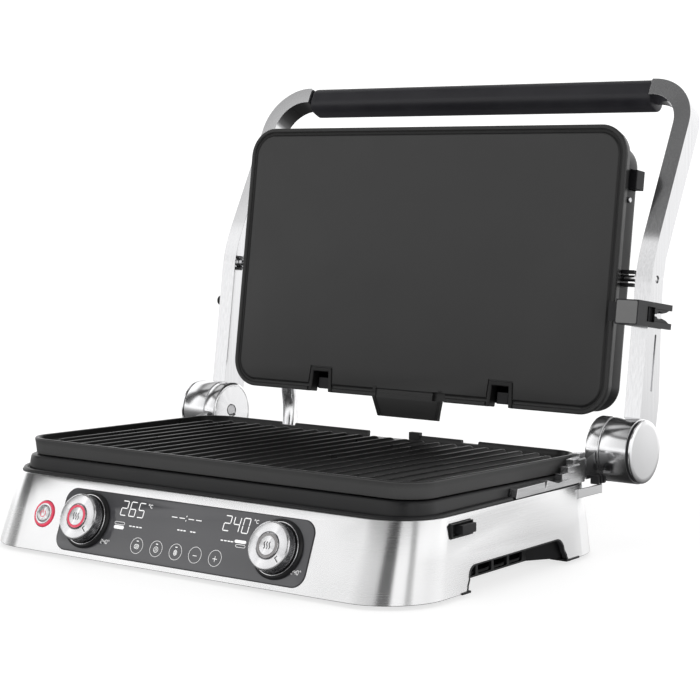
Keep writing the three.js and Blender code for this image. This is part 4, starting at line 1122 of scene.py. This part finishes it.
def upper_switch():
    """The button at the housing's side that frees the upper plate, and a small pin near it."""
    make("upper_release", [block(172, 190, 200.4, 215.6, -25.4, -13)], LID, slider_plastic,
         "plate_release_top", ["upper_release_button"], bevel=0.6, segments=3)
    pin = [(0, 184), (2.2, 184), (2.2, 185.6), (1.8, 186), (0, 186)]
    make("housing_pin", [turned(pin, 192, -13, 24)], LID, sheet_steel, "lid_housing", bevel=0)


def notch(x, reach0, reach1, v0, v1, low, high):
    """A wedge round x, its half width running from reach0 at v0 to reach1 at v1."""
    return prism([(x - reach0, v0), (x + reach0, v0), (x + reach1, v1), (x - reach1, v1)], low, high)


def drain_tongue():
    """The lip that leads fat off the upper plate, narrowing as it drops."""
    return loft([[(-half, v, top - 3), (half, v, top - 3), (half, v, top), (-half, v, top)]
                 for half, v, top in ((34, 34, -1.0), (34, 23, -0.4), (30, 8, -4.4))])


def drain_gap(low):
    """Room for the lower plate's drain tab when the lid is shut."""
    return block(DRAIN[1] - 1, DRAIN[1] + DRAIN_TAB + 1, LID_NEAR + 0.3, LID_NEAR + 7.6, low, 2)


def upper_plate():
    """The smooth plate: a raised rim, two notches and a drain tongue at the hinge side."""
    def ring(inset, n):
        return rim(PLATE_HALF, LID_NEAR, LID_FAR, PLATE_R, n, inset)

    slab = loft([ring(6, -9.2), ring(2.4, -9.2), ring(1.6, -8.8), ring(0.4, -3), ring(0, -1),
                 ring(0.25, 0.1), ring(0.8, 0.5), ring(2.9, 0.5), ring(3.3, 0.2), ring(3.8, -1.2),
                 ring(4.2, -1.4), ring(5.8, -1.4), ring(6.2, -1.2), ring(6.9, -0.2), ring(7.5, 0)])
    cuts = [loft([ring(5.6, -12), ring(5.6, -5.4)])]
    cuts += [notch(s * NOTCH_X, 11, 9.4, 20, 43, -20, 5) for s in (-1, 1)]
    cuts += [notch(s * NOTCH_X, 13.4, 11.7, 23.6, 45.4, -0.9, 3) for s in (-1, 1)]
    cuts.append(block(-31, 31, 18, 30, -0.35, 3))
    piece = built("smooth_plate", [slab], LID)
    worked(piece, LID, *[(CUT, part) for part in cuts], (JOIN, drain_tongue()), (CUT, drain_gap(-3.4)))
    # The flat cooking face gets the lighter tone and the rim, brows and tongue walls the darker one: painted
    # light and painted shade on one coating.
    dress(piece, rim_painted_shade, "top_plate", ["upper_plate"], bevel=0.4, segments=3, angle=36)
    second_finish(piece, LID, plate_coating,
                  lambda centre, normal: normal.z > 0.995 and abs(centre.z) < 0.05)


def plate_edge_details():
    """A brow and a lug at each notch, and a wall along each side of the tongue."""
    for side, name in reversed(SIDES):
        x = side * NOTCH_X
        half = [(10.7, 44.3), (12.3, 23.8), (8.8, 23.8), (7.8, 40.6)]
        brow = [(x - dx, v) for dx, v in half] + [(x + dx, v) for dx, v in reversed(half)]
        make("notch_brow_" + name, [prism(brow, -8.6, 0.5)], LID, rim_painted_shade, "top_plate", bevel=0.8,
             segments=3)
        make("notch_lug_" + name, [block(x - 5.4, x + 5.4, 26.4, 36, -8.2, -4.6)], LID, slider_plastic,
             "top_plate", bevel=0.6)
        wall = []
        for v, inner, top in ((33, 31.2, 0.4), (23.4, 31.2, 0.45), (8.2, 26.8, -3.2)):
            a, b = sorted((side * inner, side * (inner + 3.2)))
            wall.append([(a, v, top - 4), (b, v, top - 4), (b, v, top), (a, v, top)])
        make("tongue_wall_" + name, [loft(wall)], LID, rim_painted_shade, "top_plate", bevel=0.3,
             cuts=[drain_gap(-9)])


def conduit():
    """Wiring duct from the base to the lid housing, made as one fixed curve for the open lid; on the press
    it bends as the lid turns.
    """
    knots = [(-128, 241, 40), (-131, 256, 43), (-137, 271, 58), (-139, 274.5, 80), (-139, 271.6, 95),
             (-139, 272.4, 104)]
    spline = bpy.data.curves.new("duct", "CURVE")
    spline.dimensions = "3D"
    spline.bevel_depth = DUCT_R * MM
    spline.bevel_resolution = 8
    spline.use_fill_caps = True
    line = spline.splines.new("NURBS")
    line.points.add(len(knots) - 1)
    for point, knot in zip(line.points, knots):
        point.co = (*(BASE @ Vector(knot)), 1)
    line.order_u, line.resolution_u, line.use_endpoint_u = 3, 16, True
    curve = link("duct_curve", spline)
    piece = link("duct", shown_mesh(curve))
    bpy.data.objects.remove(curve)
    piece.data.materials.clear()
    piece.data.materials.append(turned_steel.material)
    piece.data.shade_smooth()
    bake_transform(piece)
    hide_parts("lid_conduit")


# ---------- CAD nodes that stay as they are ----------
def keep(finish, *names):
    """Gives CAD nodes that are shown as they are a finish."""
    for name in names:
        node = frame["nodes"][name]
        node.data.materials.clear()
        node.data.materials.append(finish.material)


def hidden_parts():
    keep(board_green, "power_board", "panel_board")
    keep(black_plastic, "display_module", "encoder_left", "encoder_right", "lower_thermostat",
         "upper_thermostat")
    keep(inner_metal, "lower_reflector", "upper_reflector", "handle_tube", "lower_heater", "upper_heater",
         "hinge_shaft_left", "hinge_shaft_right")
    keep(spring_wire, "hinge_spring_left", "hinge_spring_right")


base_shell()
hold_lips()
base_deck()
base_underside()
side_vents()
drip_tray()
power_inlet()
release_switches()
control_panel()
dials()
start_switch()
lower_plate()
hinge_pods()
stairs()
hinge_fittings()
arms()
handle()
slider()
upper_housing()
upper_switch()
upper_plate()
plate_edge_details()
conduit()
hidden_parts()


# ---------- studio ----------
def studio():
    reach = FLOOR_REACH
    corners = [(-reach, -reach, 0), (reach, -reach, 0), (reach, reach, 0), (-reach, reach, 0)]
    floor = link("floor", mesh_of("floor", [(corners, [(0, 1, 2, 3)])], Matrix.Scale(MM, 4)))
    pale = Finish("pale_floor", None, Base_Color=(0.40, 0.40, 0.40, 1), Roughness=0.8,
                  Emission_Color=(1, 1, 1, 1), Emission_Strength=0.74)
    floor.data.materials.append(pale.material)
    floor.visible_glossy = False
    sun = bpy.data.lights.new("overhead", "SUN")
    sun.energy = 0.6
    sun.angle = math.radians(70)
    lamp = link("overhead", sun)
    lamp.rotation_euler = (math.radians(12), math.radians(-10), 0)
    lamp.visible_glossy = False


def grey_ramp(tree, value, stops):
    """A ramp of greys from (position, grey) pairs, read at a value."""
    made = tree.node("ShaderNodeValToRGB", {0: value})
    elements = made.color_ramp.elements
    for element, (at, _) in zip(elements, (stops[0], stops[-1])):
        element.position = at
    for at, _ in stops[1:-1]:
        elements.new(at)
    for element, (_, tone) in zip(elements, stops):
        element.color = (tone, tone, tone, 1)
    return made.outputs[0]


def world():
    """White to the camera; to reflections, a lit wall with dark gaps, and dark below the table's edge."""
    made = bpy.data.worlds.new("studio")
    bpy.context.scene.world = made
    made.use_nodes = True
    tree = Nodes(made.node_tree)
    view = tree.node("ShaderNodeTexCoord").outputs["Generated"]
    right, back, up = tree.node("ShaderNodeSeparateXYZ", {0: view}).outputs
    lifted = tree.math("ADD", up, tree.ranged(back, 0.0, 0.17, 0.2, 0.6))
    sky = [(0.0, 0.015), (0.1, 0.02), (0.265, 0.05), (0.425, 0.14), (0.49, 0.42), (0.525, 0.9), (0.56, 1.0),
           (0.83, 1.0), (0.845, 0.15), (0.88, 0.15), (0.90, 0.55), (0.94, 0.5), (1.0, 0.22)]
    turns = [(-180, 1.0), (-88, 1.0), (-80, 0.05), (-58, 0.05), (-54, 1.0), (-48, 1.0), (-37, 0.82),
             (-20, 0.68), (11, 0.58), (15, 0.04), (37, 0.04), (40, 1.0), (62, 1.0), (65, 0.32), (73, 0.32),
             (77, 1.0), (180, 1.0)]
    shade_card = [(-180, 1.0), (145, 1.0), (146.8, 0.45), (149.4, 0.5), (151, 1.0), (180, 1.0)]
    around = tree.math("ARCTAN2", right, tree.math("MULTIPLY", back, -1.0))
    share = tree.ranged(around, start=-math.pi, end=math.pi)
    wall, card = (grey_ramp(tree, share, [((azimuth + 180) / 360, tone) for azimuth, tone in stops])
                  for stops in (turns, shade_card))
    dimmed = tree.math("MULTIPLY", tree.ranged(up, start=0.12, end=0.24), tree.math("SUBTRACT", wall, 1.0))
    height = grey_ramp(tree, tree.ranged(lifted, start=-1.0, end=1.0), sky)
    shade = tree.math("MULTIPLY", tree.math("MULTIPLY", height, tree.math("ADD", dimmed, 1.0)), card)
    camera_ray = tree.node("ShaderNodeLightPath").outputs["Is Camera Ray"]
    background = tree.tree.nodes["Background"]
    tree.feed(background.inputs["Color"], tree.math("MAXIMUM", shade, camera_ray))
    tree.feed(background.inputs["Strength"], 1.2)


def camera():
    lens = bpy.data.cameras.new("camera")
    lens.lens, lens.sensor_width = FOCAL, FILM
    lens.clip_start, lens.clip_end = 0.05, 50
    eye = link("camera", lens)
    eye.location = BASE @ Vector(EYE)
    eye.rotation_euler = (EYE_TILT, 0, EYE_TURN)
    bpy.context.scene.camera = eye


studio()
world()
camera()
bpy.context.scene.view_settings.view_transform = "Standard"
